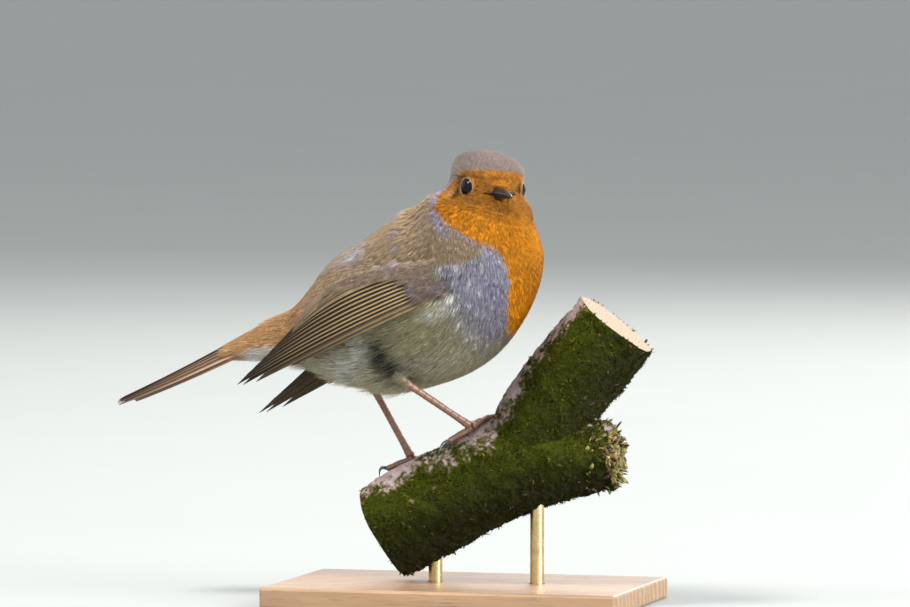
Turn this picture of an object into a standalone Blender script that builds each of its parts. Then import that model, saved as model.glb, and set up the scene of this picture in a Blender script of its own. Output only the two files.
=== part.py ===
"""A European robin, life size, on a short cut length of branch over a flat stand.

The bird looks along +X with its left side towards +Y, and its head is turned to its
right.  The underside of the stand's base is centred on the origin, and +Z is up.
Run it with  blender --background --python part.py  or from the text editor.
"""

import math

import bmesh
import bpy
import numpy as np
from mathutils import Matrix, Quaternion, Vector
from mathutils.bvhtree import BVHTree

MM = 0.001
GAP = 0.35 * MM

# ---------------------------------------------------------------- driving dimensions (mm)

# Sections of the body from the root of the tail to the temples.  Each has its middle
# (x, y, z), its lean below level in degrees, its half length from back to breast, its
# half width from side to side, and the turn of its front to the right in degrees.
SECTIONS = (
    (-67.0, 0.0, 71.7, 77.0, 3.4, 7.5, 0.0),
    (-58.1, 0.0, 74.0, 77.5, 5.9, 9.0, 0.0),
    (-48.1, 0.0, 76.1, 81.5, 9.2, 13.0, 0.0),
    (-36.5, 0.0, 79.9, 82.0, 17.7, 19.0, 0.0),
    (-24.0, 0.0, 82.4, 80.0, 22.8, 23.5, 0.0),
    (-11.5, 0.0, 87.4, 73.0, 25.1, 25.5, 0.0),
    (-2.7, 0.0, 92.3, 63.5, 24.5, 25.5, 0.0),
    (3.7, -1.0, 99.3, 50.0, 21.9, 23.0, 12.0),
    (7.3, -2.0, 107.1, 33.0, 18.4, 19.0, 28.0),
    (7.1, -3.0, 113.4, 19.0, 14.6, 14.3, 46.0),
    (7.2, -3.0, 117.4, 10.0, 12.3, 11.7, 56.0),
    (7.4, -2.6, 121.3, 5.5, 10.9, 10.8, 57.0),
)
CROWN_RISE = 8.3
CROWN_FULLNESS = 2.35
FOREHEAD_FULLNESS = 1.95
NECK_FROM = 7.0
HEAD_FROM = 9.0

# The head's own frame: its middle, the way it looks and how far it rolls.
HEAD_MIDDLE = (8.0, -3.0, 119.4)
HEAD_TURN = 57.0
HEAD_ROLL = 3.3

# Soft swellings and hollows of the head: place in the head's frame (forward, right,
# up), reach along those three ways, rise, and the sides on which they are made.
BOTH = (1.0, -1.0)
RIGHT = (1.0,)
HEAD_RELIEF = (
    ((9.5, 5.5, -1.5), (4.0, 3.5, 4.0), -0.9, BOTH),
    ((11.0, 0.0, -7.5), (5.0, 6.0, 2.6), -0.8, RIGHT),
    ((3.8, 9.2, -0.6), (3.6, 4.0, 3.6), -1.1, BOTH),
    ((6.0, 11.0, -1.5), (6.0, 5.0, 5.5), -1.5, RIGHT),
    ((2.0, 9.5, -6.0), (5.0, 5.0, 3.0), 0.7, BOTH),
    ((5.0, 7.5, 4.4), (5.0, 4.0, 2.4), 0.25, BOTH),
)

EYE_PLACE = (3.6, 5.75, -0.7)
EYE_RADIUS = 3.75

# The bill, as distances forward of the head's middle and half sizes.
BILL_ROOT = 8.6
BILL_TIP = 20.8
BILL_HALF_WIDTH = 2.6
BILL_UPPER_HEIGHT = 2.3
BILL_LOWER_HEIGHT = 1.7
BILL_DROP = 2.0

# Folded wings: wrist, tip, and the edges above and below the line between them, each
# edge as (share of the length, distance).
WRIST_RIGHT = (8.0, 22.0, 97.5)
TIP_RIGHT = (-66.0, 6.5, 62.5)
WRIST_LEFT = (8.0, 22.0, 96.5)
TIP_LEFT = (-63.5, 6.5, 53.5)
WING_UPPER_EDGE = ((0.0, 1.0), (0.1, 6.0), (0.25, 10.0), (0.42, 12.0), (0.58, 10.8),
                   (0.69, 8.0), (0.79, 4.3), (0.89, 2.2), (1.0, 0.5))
WING_LOWER_EDGE = ((0.0, 1.0), (0.1, 4.9), (0.25, 4.2), (0.45, 3.9), (0.62, 3.2),
                   (0.8, 2.2), (0.9, 1.4), (1.0, 0.4))
WING_OUT = ((0.0, 21.5), (0.15, 25.0), (0.3, 26.8), (0.45, 26.0), (0.6, 22.0),
            (0.75, 16.2), (0.9, 10.4), (1.0, 6.8))
WING_THICKNESS = ((0.0, 2.2), (0.3, 2.6), (0.55, 2.0), (0.75, 1.3), (1.0, 0.8))
WING_BEND_RADIUS = 25.0
WING_SPLIT = 0.47

# The tail: its root and tip, half widths, the droop of its edges and its thickness.
TAIL_ROOT = (-67.9, 0.0, 73.8)
TAIL_TIP = (-103.0, 0.0, 55.7)
TAIL_ROOT_HALF = 6.6
TAIL_TIP_HALF = 8.8
TAIL_ROOT_DROOP = 4.1
TAIL_TIP_DROOP = 0.7
TAIL_THICKNESS = 1.5
TAIL_SAG = 0.4

# Legs: ankle and foot of each, and the feathered thigh's upper end.
ANKLE_RIGHT = (-15.2, -15.0, 64.9)
ANKLE_LEFT = (-30.8, 10.0, 62.0)
THIGH_TOP_RIGHT = (-20.0, -14.5, 78.0)
THIGH_TOP_LEFT = (-29.0, 12.5, 76.0)
FOOT_RIGHT = (3.0, -3.5)
FOOT_LEFT = (-16.5, 3.0)
THIGH_RADIUS = 7.0
TARSUS_RADIUS = 1.05
TOE_RADIUS = 0.95
CLAW_RADIUS = 0.6

# Toes of each foot: name, heading in degrees from +X towards +Y, length, claw length and
# how far the claw turns aside from the toe, in degrees.
TOES_RIGHT = (("hallux", -158.0, 7.5, 6.0, 38.0), ("inner", 104.0, 10.0, 4.2, 0.0),
              ("middle", 79.0, 13.5, 4.8, 0.0), ("outer", 54.0, 10.5, 4.2, 0.0))
TOES_LEFT = (("hallux", -160.0, 8.0, 5.6, 45.0), ("inner", 54.0, 10.0, 4.2, 0.0),
             ("middle", 79.0, 13.5, 4.8, 0.0), ("outer", 104.0, 10.5, 4.2, 0.0))
CLAW_ARCH = 0.24

# The branch: the middle line and radius of the lower limb and of the rising limb.
LIMB_LINE = ((-23.7, 1.0, 20.2, 14.2), (-11.2, 1.0, 26.9, 14.3), (0.9, 1.0, 32.9, 14.0),
             (13.0, 1.0, 38.6, 14.2), (28.1, 1.0, 42.0, 12.6), (43.5, 1.0, 43.0, 9.4))
RISE_LINE = ((17.0, 1.0, 40.5, 12.4), (24.5, 1.5, 54.5, 13.0), (31.1, 2.0, 64.9, 13.0),
             (37.6, 2.5, 72.9, 12.8), (43.5, 3.0, 80.3, 12.6))
BARK_SWELL = 0.045

# The stand: a flat plate and two rods let into it and into the branch.
BASE_LENGTH = 104.0
BASE_DEPTH = 64.0
BASE_THICKNESS = 6.0
BASE_BEVEL = 0.8
ROD_RADIUS = 2.0
ROD_PLACES = ((-9.0, 1.0), (21.0, 1.0))
ROD_SET_IN = 3.0
ROD_INTO_BRANCH = 4.0

ROUND_ANGLE = math.radians(40.0)


# ---------------------------------------------------------------- curves and frames


def smooth_rows(rows, steps):
    """Rows read at fractional steps along a Catmull-Rom curve through them."""
    rows = np.asarray(rows, float)
    steps = np.clip(np.asarray(steps, float), 0.0, len(rows) - 1.0)
    first = np.minimum(steps.astype(int), len(rows) - 2)
    t = (steps - first)[..., None]
    before = rows[np.maximum(first - 1, 0)]
    start = rows[first]
    end = rows[first + 1]
    after = rows[np.minimum(first + 2, len(rows) - 1)]
    return start + 0.5 * t * (end - before + t * (2 * before - 5 * start + 4 * end - after
                              + t * (3 * (start - end) + after - before)))


def along(pairs, share):
    """The value at a share of the length, between the pairs given."""
    xs, ys = zip(*pairs)
    return np.interp(share, xs, ys)


def head_axes():
    """Unit vectors forward, right and up of the turned and rolled head."""
    turn = math.radians(-HEAD_TURN)
    roll = math.radians(HEAD_ROLL)
    forward = np.array((math.cos(turn), math.sin(turn), 0.0))
    level = np.array((math.sin(turn), -math.cos(turn), 0.0))
    up = np.array((0.0, 0.0, 1.0))
    right = math.cos(roll) * level + math.sin(roll) * up
    return forward, right, np.cross(right, forward)


def from_head(place):
    """World millimetres of a place given in the head's frame."""
    forward, right, up = head_axes()
    return np.array(HEAD_MIDDLE) + place[0] * forward + place[1] * right + place[2] * up


def relieve_head(points):
    """Move points of the head out or in by its swellings and hollows."""
    axes = np.array(head_axes())
    local = (points - np.array(HEAD_MIDDLE)) @ axes.T
    outward = local / np.maximum(np.linalg.norm(local, axis=-1, keepdims=True), 1e-6)
    rise = np.zeros(points.shape[:-1])
    for place, reach, height, sides in HEAD_RELIEF:
        for side in sides:
            centre = np.array(place) * (1.0, side, 1.0)
            rise += height * np.exp(-(((local - centre) / reach) ** 2).sum(axis=-1))
    return points + (outward * rise[..., None]) @ axes


def body_ring(step, angles, shift=0.0):
    """One section of the body; angle 0 is the breast or face, and 90 degrees the right."""
    x, y, z, lean, half_long, half_wide, turn = smooth_rows(SECTIONS, step)
    lean = math.radians(lean)
    turn = math.radians(turn)
    down = np.array((math.cos(lean), 0.0, -math.sin(lean)))
    right = np.array((0.0, -1.0, 0.0))
    front = math.cos(turn) * down + math.sin(turn) * right
    side = math.cos(turn) * right - math.sin(turn) * down
    normal = np.cross(right, down)
    middle = np.array((x, y, z)) + shift * normal
    return (middle + half_long * np.cos(angles)[:, None] * front
            + half_wide * np.sin(angles)[:, None] * side)


def crown_rings(angles, count):
    """Rings that close the crown as a rather full half ellipsoid over the last section."""
    last = len(SECTIONS) - 1.0
    middle = np.array(SECTIONS[-1][:3])
    spread = body_ring(last, angles) - middle
    forward = head_axes()[0]
    lengthwise = (spread @ forward)[:, None] * forward
    rings = []
    for k in range(1, count + 1):
        rise = 0.5 * math.pi * k / (count + 0.3)
        lift = np.array((0.0, 0.0, CROWN_RISE * math.sin(rise) ** (2.0 / CROWN_FULLNESS)))
        ring = lengthwise * math.cos(rise) ** (2.0 / FOREHEAD_FULLNESS)
        ring += (spread - lengthwise) * math.cos(rise) ** (2.0 / CROWN_FULLNESS)
        rings.append(middle + ring + lift)
    return rings


# ---------------------------------------------------------------- making objects


def principled(name, colour, roughness, metallic=0.0):
    """A plain Principled material."""
    material = bpy.data.materials.new(name)
    material.use_nodes = True
    shader = material.node_tree.nodes["Principled BSDF"]
    shader.inputs["Base Color"].default_value = (*colour, 1.0)
    shader.inputs["Roughness"].default_value = roughness
    shader.inputs["Metallic"].default_value = metallic
    material.diffuse_color = (*colour, 1.0)
    return material


def mesh_object(name, bm, material, cutter=False):
    """An object from a bmesh, its faces turned outward and shaded smooth."""
    bmesh.ops.recalc_face_normals(bm, faces=bm.faces)
    mesh = bpy.data.meshes.new(name)
    bm.to_mesh(mesh)
    bm.free()
    mesh.shade_smooth()
    mesh.set_sharp_from_angle(angle=ROUND_ANGLE)
    item = bpy.data.objects.new(name, mesh)
    bpy.context.collection.objects.link(item)
    if cutter:
        item.hide_render = True
        item.display_type = "WIRE"
    else:
        mesh.materials.append(material)
    return item


def loft(rings):
    """A closed bmesh through rings of points in millimetres, with flat ends."""
    bm = bmesh.new()
    loops = [[bm.verts.new(Vector(point) * MM) for point in ring] for ring in rings]
    count = len(loops[0])
    for low, high in zip(loops, loops[1:]):
        for i in range(count):
            j = (i + 1) % count
            bm.faces.new((low[i], low[j], high[j], high[i]))
    bm.faces.new(loops[0])
    bm.faces.new(loops[-1])
    bmesh.ops.triangulate(bm, faces=[face for face in bm.faces if len(face.verts) > 4])
    return bm


def tube_rings(line, radii, sides, grow=0.0):
    """Rings of a tube along a line of points, in millimetres, grown on every side."""
    line = np.array(line, float)
    tangents = np.gradient(line, axis=0)
    tangents /= np.linalg.norm(tangents, axis=1)[:, None]
    line[0] -= grow * tangents[0]
    line[-1] += grow * tangents[-1]
    up = np.array((0.0, 0.0, 1.0))
    if abs(tangents[0] @ up) > 0.9:
        up = np.array((0.0, 1.0, 0.0))
    across = np.cross(up, tangents[0])
    angles = np.arange(sides) * 2.0 * math.pi / sides
    rings = []
    for point, tangent, radius in zip(line, tangents, radii):
        across = across - (across @ tangent) * tangent
        across /= np.linalg.norm(across)
        over = np.cross(tangent, across)
        size = radius + grow
        rings.append(point + size * np.cos(angles)[:, None] * across
                     + size * np.sin(angles)[:, None] * over)
    return rings


def boolean(target, cutter, operation="DIFFERENCE"):
    """Cut the target by, or join it with, another object."""
    modifier = target.modifiers.new(cutter.name, "BOOLEAN")
    modifier.operation = operation
    modifier.solver = "EXACT"
    modifier.object = cutter


def evaluated_tree(item):
    """A search tree of an object's evaluated mesh."""
    graph = bpy.context.evaluated_depsgraph_get()
    return BVHTree.FromObject(item, graph)


# ---------------------------------------------------------------- body, head, bill, eyes

BODY_SIDES = 26


def body_piece(name, first, last, rows, material, crown=False):
    """A length of the body between two sections, parted from its neighbours."""
    angles = np.arange(BODY_SIDES) * 2.0 * math.pi / BODY_SIDES
    shifts = [0.0] * rows
    if first > 0.0:
        shifts[0] = 0.5 * GAP / MM
    if not crown:
        shifts[-1] = -0.5 * GAP / MM
    steps = np.linspace(first, last, rows)
    rings = [body_ring(step, angles, shift) for step, shift in zip(steps, shifts)]
    if crown:
        rings += crown_rings(angles, 8)
    if first >= HEAD_FROM:
        rings = [rings[0]] + [relieve_head(ring) for ring in rings[1:]]
    return mesh_object(name, loft(rings), material)


def bill_rings(upper, grow=0.0):
    """Rings of one half of the bill, tapering in a curve to its tip."""
    forward, right, up = head_axes()
    angles = np.linspace(0.0, math.pi, 7)
    rings = []
    for share in np.linspace(0.0, 1.0, 8):
        taper = 1.0 - 0.93 * share ** 0.9
        width = BILL_HALF_WIDTH * taper + grow
        height = BILL_UPPER_HEIGHT if upper else -BILL_LOWER_HEIGHT
        height = height * (1.0 - 0.88 * share ** 1.15)
        height += math.copysign(grow, height)
        reach = BILL_ROOT + (BILL_TIP - BILL_ROOT) * (share if upper else 0.955 * share)
        level = -BILL_DROP - 0.5 * share ** 2
        parting = math.copysign(0.5 * GAP / MM - grow, height)
        middle = from_head((reach, 0.0, level))
        arc = [middle + width * math.cos(a) * right
               + (parting + height * math.sin(a)) * up for a in angles]
        rings.append(arc)
    return rings


def sphere(name, centre, radius, material, cutter=False, sides=14):
    """A ball of the given radius in millimetres."""
    bm = bmesh.new()
    place = Matrix.Translation(Vector(centre) * MM)
    bmesh.ops.create_uvsphere(bm, u_segments=sides, v_segments=sides - 4,
                              radius=radius * MM, matrix=place)
    return mesh_object(name, bm, material, cutter)


def make_head(head, dark_horn, dark_eye):
    """Both halves of the bill and both eyes, let into the head."""
    for upper in (True, False):
        name = "bill_upper" if upper else "bill_lower"
        mesh_object(name, loft(bill_rings(upper)), dark_horn)
        socket = mesh_object("socket_" + name, loft(bill_rings(upper, GAP / MM)), None, True)
        boolean(head, socket)
    for side, name in ((1.0, "eye_right"), (-1.0, "eye_left")):
        place = from_head((EYE_PLACE[0], side * EYE_PLACE[1], EYE_PLACE[2]))
        sphere(name, place, EYE_RADIUS, dark_eye)
        boolean(head, sphere("socket_" + name, place, EYE_RADIUS + GAP / MM, None, True))


# ---------------------------------------------------------------- wings and tail


def wing_ring(share, wrist, tip, side, grow=0.0):
    """A section across the folded wing, bent round the bird's flank."""
    wrist = np.array(wrist, float)
    tip = np.array(tip, float)
    run = (tip - wrist) * (1.0, 0.0, 1.0)
    run /= np.linalg.norm(run)
    rise = np.array((run[2], 0.0, -run[0]))
    upper = float(along(WING_UPPER_EDGE, share)) + grow
    lower = float(along(WING_LOWER_EDGE, share)) + grow
    out = float(along(WING_OUT, share))
    thick = float(along(WING_THICKNESS, share))
    middle = wrist + (tip - wrist) * share
    ring = []
    for w in np.linspace(-lower, upper, 7):
        bend = w * w / (2.0 * WING_BEND_RADIUS)
        point = middle + w * rise
        ring.append((point[0], side * (out - bend + grow), point[2]))
    for w in np.linspace(upper, -lower, 7):
        bend = w * w / (2.0 * WING_BEND_RADIUS)
        edge = 1.0 - 0.35 * abs(2.0 * (w + lower) / (upper + lower) - 1.0) ** 3
        point = middle + w * rise
        ring.append((point[0], side * (out - bend - thick * edge - grow), point[2]))
    return np.array(ring)


def wing_piece(name, first, last, rows, wrist, tip, side, material):
    """A length of the folded wing."""
    shares = np.linspace(first, last, rows)
    rings = [wing_ring(share, wrist, tip, side) for share in shares]
    return mesh_object(name, loft(rings), material)


def make_wing(label, wrist, tip, side, trunk, neck, coverts, quills):
    """A wing as its feathered arm and its long feathers, let into the body."""
    split = 0.5 * GAP / MM / 80.0
    wing_piece("wing_" + label, 0.0, WING_SPLIT - split, 9, wrist, tip, side, coverts)
    wing_piece("flight_feathers_" + label, WING_SPLIT + split, 1.0, 11, wrist, tip, side, quills)
    shares = np.linspace(-0.004, 1.004, 18)
    rings = [wing_ring(share, wrist, tip, side, GAP / MM) for share in shares]
    cutter = mesh_object("bed_wing_" + label, loft(rings), None, True)
    boolean(trunk, cutter)
    boolean(neck, cutter)


def tail_rings(clear):
    """Rings of the closed tail, roof-shaped at the root, grown all round by a clearance."""
    root = np.array(TAIL_ROOT)
    tip = np.array(TAIL_TIP)
    run = (tip - root) / np.linalg.norm(tip - root)
    up = np.array((run[2], 0.0, -run[0]))
    rings = []
    for share in np.linspace(0.0, 1.0, 9):
        half = TAIL_ROOT_HALF + (TAIL_TIP_HALF - TAIL_ROOT_HALF) * share ** 0.7 + clear
        sag = TAIL_SAG * math.sin(math.pi * share)
        across = np.linspace(-1.0, 1.0, 9)
        reach = share - 0.03 * (1.0 - across ** 2) * (share == 1.0)
        droop = (TAIL_ROOT_DROOP + (TAIL_TIP_DROOP - TAIL_ROOT_DROOP) * share) * across ** 2
        middle = root + reach[:, None] * (tip - root) - clear * run
        top = middle + (across * half)[:, None] * (0.0, 1.0, 0.0)
        top = top + (0.5 * TAIL_THICKNESS + clear - droop - sag)[:, None] * up
        under = (top - (TAIL_THICKNESS + 2.0 * clear) * up)[::-1]
        rings.append(np.concatenate((top, under)))
    return rings


def make_tail(trunk, material):
    """The closed tail, arched across and a little bent along its length."""
    mesh_object("tail", loft(tail_rings(0.0)), material)
    bed = mesh_object("bed_tail", loft(tail_rings(GAP / MM)), None, True)
    boolean(trunk, bed)


# ---------------------------------------------------------------- branch and stand


def limb_rings(line, rows, sides, twist):
    """Rings of a limb whose bark swells and dips round it."""
    steps = np.linspace(0.0, len(line) - 1.0, rows)
    path = smooth_rows(line, steps)
    rings = []
    for step, ring in zip(steps, tube_rings(path[:, :3], path[:, 3], sides)):
        middle = ring.mean(axis=0)
        angles = np.arange(sides) * 2.0 * math.pi / sides
        swell = np.sin(3.0 * angles + twist + 0.9 * step) + 0.6 * np.sin(5.0 * angles - 1.7 * step)
        rings.append(middle + (ring - middle) * (1.0 + BARK_SWELL * swell)[:, None])
    return rings


def make_branch(bark):
    """The cut length of branch: the lower limb with the rising limb joined to it."""
    branch = mesh_object("perch_branch", loft(limb_rings(LIMB_LINE, 14, 22, 0.4)), bark)
    rise = mesh_object("joined_limb", loft(limb_rings(RISE_LINE, 11, 20, 2.0)), None, True)
    boolean(branch, rise, "UNION")
    return branch


def cylinder(name, place, bottom, top, radius, material, cutter=False):
    """An upright rod between two heights, in millimetres."""
    bm = bmesh.new()
    middle = Vector((place[0], place[1], 0.5 * (bottom + top))) * MM
    bmesh.ops.create_cone(bm, cap_ends=True, segments=20, radius1=radius * MM, radius2=radius * MM,
                          depth=(top - bottom) * MM, matrix=Matrix.Translation(middle))
    return mesh_object(name, bm, material, cutter)


def make_stand(branch, wood, metal):
    """The base and its two rods, with a socket for each rod in base and branch."""
    bm = bmesh.new()
    bmesh.ops.create_cube(bm, size=1.0)
    size = Matrix.Diagonal((BASE_LENGTH * MM, BASE_DEPTH * MM, BASE_THICKNESS * MM, 1.0))
    lift = Matrix.Translation((0.0, 0.0, 0.5 * BASE_THICKNESS * MM))
    bmesh.ops.transform(bm, matrix=lift @ size, verts=bm.verts)
    base = mesh_object("stand_base", bm, wood)
    bevel = base.modifiers.new("edges", "BEVEL")
    bevel.width = BASE_BEVEL * MM
    bevel.segments = 2
    tree = evaluated_tree(branch)
    for number, place in enumerate(ROD_PLACES, start=1):
        start = Vector((place[0] * MM, place[1] * MM, 0.0))
        under = tree.ray_cast(start, Vector((0.0, 0.0, 1.0)))[0].z / MM
        low = BASE_THICKNESS - ROD_SET_IN
        high = under + ROD_INTO_BRANCH
        name = "stand_rod_%d" % number
        cylinder(name, place, low, high, ROD_RADIUS, metal)
        clear = GAP / MM
        hole = cylinder("hole_%d" % number, place, low - clear, high + clear,
                        ROD_RADIUS + clear, None, True)
        boolean(base, hole)
        boolean(branch, hole)


# ---------------------------------------------------------------- legs and feet


def creep(tree, start, heading, length, lift, steps):
    """A line that creeps over a surface from a start, at a given lift above it."""
    point = Vector(start)
    way = Vector(heading).normalized()
    line = []
    for k in range(steps + 1):
        hit, normal = tree.find_nearest(point * MM)[:2]
        point = hit / MM + normal * lift[k]
        line.append(np.array(point))
        way = (way - way.dot(normal) * normal).normalized()
        point = point + way * (length / steps)
    return line, way


def make_foot(label, tree, centre, toes, skin, claw):
    """Four toes joined at the foot's pad, each ending in a claw of its own."""
    foot = sphere("foot_" + label, centre, 1.35 * TOE_RADIUS, skin, sides=10)
    for name, heading, length, claw_length, turn in toes:
        way = (math.cos(math.radians(heading)), math.sin(math.radians(heading)), 0.0)
        steps = 6
        clear = GAP / MM
        lift = [TOE_RADIUS * (1.0 - 0.2 * k / steps) + clear for k in range(steps + 1)]
        lift[0] = float((Vector(centre) - tree.find_nearest(Vector(centre) * MM)[0] / MM).length)
        line, way = creep(tree, centre, way, length, lift, steps)
        radii = [TOE_RADIUS * (1.0 - 0.24 * k / steps) for k in range(steps + 1)]
        rings = tube_rings(line, radii, 6)
        toe = mesh_object("toe_%s_%s" % (name, label), loft(rings), None, True)
        boolean(foot, toe, "UNION")
        rows = 5
        end = Vector(line[-1]) + way * clear
        out = end - tree.find_nearest(end * MM)[0] / MM
        way = Quaternion(out.normalized(), math.radians(turn)) @ way
        share = np.linspace(0.0, 1.0, rows + 1)
        arch = CLAW_RADIUS * (1.0 - 0.75 * share) + clear
        arch = arch + CLAW_ARCH * claw_length * np.sin(math.pi * share) ** 0.8
        arch[0] = lift[-1]
        line, way = creep(tree, end, way, claw_length, list(arch), rows)
        radii = CLAW_RADIUS * (1.0 - 0.78 * share)
        mesh_object("claw_%s_%s" % (name, label), loft(tube_rings(line, radii, 6)), claw)
    return foot


def make_leg(label, tree, ankle, thigh_top, place, toes, trunk, skin, feather, claw):
    """A feathered thigh, a bare tarsus and a foot on the branch."""
    above = Vector((place[0] * MM, place[1] * MM, 0.2))
    top = tree.ray_cast(above, Vector((0.0, 0.0, -1.0)))[0] / MM
    centre = np.array((top.x, top.y, top.z + 1.35 * TOE_RADIUS + GAP / MM))
    ankle = np.array(ankle)
    clear = GAP / MM
    down = (centre - ankle) / np.linalg.norm(centre - ankle)
    foot_end = centre - down * (1.35 * TOE_RADIUS + clear)
    shares = np.linspace(0.0, 1.0, 6)[:, None]
    line = ankle + shares * (foot_end - ankle)
    radii = TARSUS_RADIUS * (1.0 + 0.35 * np.abs(2.0 * shares[:, 0] - 1.0) ** 4)
    mesh_object("tarsus_" + label, loft(tube_rings(line, radii, 8)), skin)
    grown = tube_rings(line, radii, 8, clear)
    cutter = mesh_object("bed_tarsus_" + label, loft(grown), None, True)
    shares = np.linspace(0.0, 1.0, 8)
    line = np.array(thigh_top) + shares[:, None] * (ankle + 0.6 * down - np.array(thigh_top))
    radii = THIGH_RADIUS * np.sqrt(np.clip(1.0 - (1.06 * shares - 0.12) ** 2, 0.0, 1.0)) + 0.6
    thigh = mesh_object("thigh_" + label, loft(tube_rings(line, radii, 12)), feather)
    boolean(thigh, cutter)
    bed = mesh_object("bed_thigh_" + label, loft(tube_rings(line, radii, 12, clear)), None, True)
    boolean(trunk, bed)
    boolean(trunk, cutter)
    make_foot(label, tree, centre, toes, skin, claw)


# ---------------------------------------------------------------- the model


def main():
    for item in list(bpy.data.objects):
        bpy.data.objects.remove(item, do_unlink=True)
    back = principled("olive_plumage", (0.16, 0.12, 0.075), 0.85)
    orange = principled("orange_plumage", (0.52, 0.17, 0.045), 0.85)
    belly = principled("belly_plumage", (0.36, 0.32, 0.25), 0.85)
    coverts = principled("wing_coverts", (0.15, 0.115, 0.075), 0.8)
    quills = principled("wing_quills", (0.085, 0.07, 0.055), 0.6)
    rectrices = principled("tail_quills", (0.13, 0.09, 0.055), 0.6)
    horn = principled("bill_horn", (0.02, 0.017, 0.016), 0.35)
    eye = principled("eye_dark", (0.006, 0.005, 0.005), 0.05)
    leg_skin = principled("leg_scales", (0.26, 0.14, 0.09), 0.5)
    claw = principled("claw_horn", (0.035, 0.035, 0.04), 0.35)
    bark = principled("bark", (0.20, 0.16, 0.12), 0.9)
    wood = principled("base_wood", (0.30, 0.19, 0.11), 0.45)
    metal = principled("rod_brass", (0.62, 0.46, 0.22), 0.3, 1.0)

    last = len(SECTIONS) - 1.0
    trunk = body_piece("trunk", 0.0, NECK_FROM, 18, back)
    neck = body_piece("neck", NECK_FROM, HEAD_FROM, 7, orange)
    head = body_piece("head", HEAD_FROM, last, 7, orange, crown=True)
    make_head(head, horn, eye)
    make_wing("right", WRIST_RIGHT, TIP_RIGHT, -1.0, trunk, neck, coverts, quills)
    make_wing("left", WRIST_LEFT, TIP_LEFT, 1.0, trunk, neck, coverts, quills)
    make_tail(trunk, rectrices)
    branch = make_branch(bark)
    bpy.context.view_layer.update()
    tree = evaluated_tree(branch)
    make_leg("right", tree, ANKLE_RIGHT, THIGH_TOP_RIGHT, FOOT_RIGHT, TOES_RIGHT,
             trunk, leg_skin, belly, claw)
    make_leg("left", tree, ANKLE_LEFT, THIGH_TOP_LEFT, FOOT_LEFT, TOES_LEFT,
             trunk, leg_skin, belly, claw)
    make_stand(branch, wood, metal)


main()
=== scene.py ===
"""The finished look of a European robin that sits on a short cut length of branch.

Pieces are worked out as whole arrays from named sizes in millimetres, in the frame of the
solid model: +X is the way the body looks, +Y the bird's left and +Z up.
"""

import math

import bmesh
import bpy
import numpy as np
from bpy.props import FloatProperty, FloatVectorProperty, PointerProperty
from mathutils import Matrix, Quaternion, Vector
from mathutils.bvhtree import BVHTree


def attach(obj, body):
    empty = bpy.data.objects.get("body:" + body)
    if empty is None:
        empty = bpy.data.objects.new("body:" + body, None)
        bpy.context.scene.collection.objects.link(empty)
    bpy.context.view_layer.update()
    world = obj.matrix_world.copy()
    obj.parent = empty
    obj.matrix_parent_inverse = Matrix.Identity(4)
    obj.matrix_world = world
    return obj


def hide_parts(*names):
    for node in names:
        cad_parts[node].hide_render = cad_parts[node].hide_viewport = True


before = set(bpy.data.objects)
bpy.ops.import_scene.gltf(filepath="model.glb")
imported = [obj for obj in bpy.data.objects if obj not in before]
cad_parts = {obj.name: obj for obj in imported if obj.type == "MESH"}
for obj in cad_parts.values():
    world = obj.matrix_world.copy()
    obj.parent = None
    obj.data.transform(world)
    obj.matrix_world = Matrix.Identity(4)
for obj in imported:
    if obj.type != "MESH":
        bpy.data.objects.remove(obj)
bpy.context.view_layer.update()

bl_info = {
    "name": "Robin on a branch",
    "version": (1, 0, 0),
    "blender": (4, 5, 0),
    "location": "3D View > Sidebar > Robin",
    "description": "Plumage, wings, head, feet, branch and stand of a life-size robin",
    "category": "Add Mesh",
}

MM = 0.001

# ---------------------------------------------------------------- sizes of the solids (mm)

# Steps along the body: x, y, z, lean, half depth, half width, turn (angles in degrees)
SECTIONS = np.array((
    (-67.0, 0.0, 71.7, 77.0, 3.4, 7.5, 0.0), (-58.1, 0.0, 74.0, 77.5, 5.9, 9.0, 0.0),
    (-48.1, 0.0, 76.1, 81.5, 9.2, 13.0, 0.0), (-36.5, 0.0, 79.9, 82.0, 17.7, 19.0, 0.0),
    (-24.0, 0.0, 82.4, 80.0, 22.8, 23.5, 0.0), (-11.5, 0.0, 87.4, 73.0, 25.1, 25.5, 0.0),
    (-2.7, 0.0, 92.3, 63.5, 24.5, 25.5, 0.0), (3.7, -1.0, 99.3, 50.0, 21.9, 23.0, 12.0),
    (7.3, -2.0, 107.1, 33.0, 18.4, 19.0, 28.0), (7.1, -3.0, 113.4, 19.0, 14.6, 14.3, 46.0),
    (7.2, -3.0, 117.4, 10.0, 12.3, 11.7, 56.0), (7.4, -2.6, 121.3, 5.5, 10.9, 10.8, 57.0)))
CROWN_RISE = 8.3
CROWN_FULLNESS = 2.35
FOREHEAD_FULLNESS = 1.95
HEAD_MIDDLE = np.array((8.0, -3.0, 119.4))
HEAD_TURN = 57.0
HEAD_ROLL = 3.3
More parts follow.
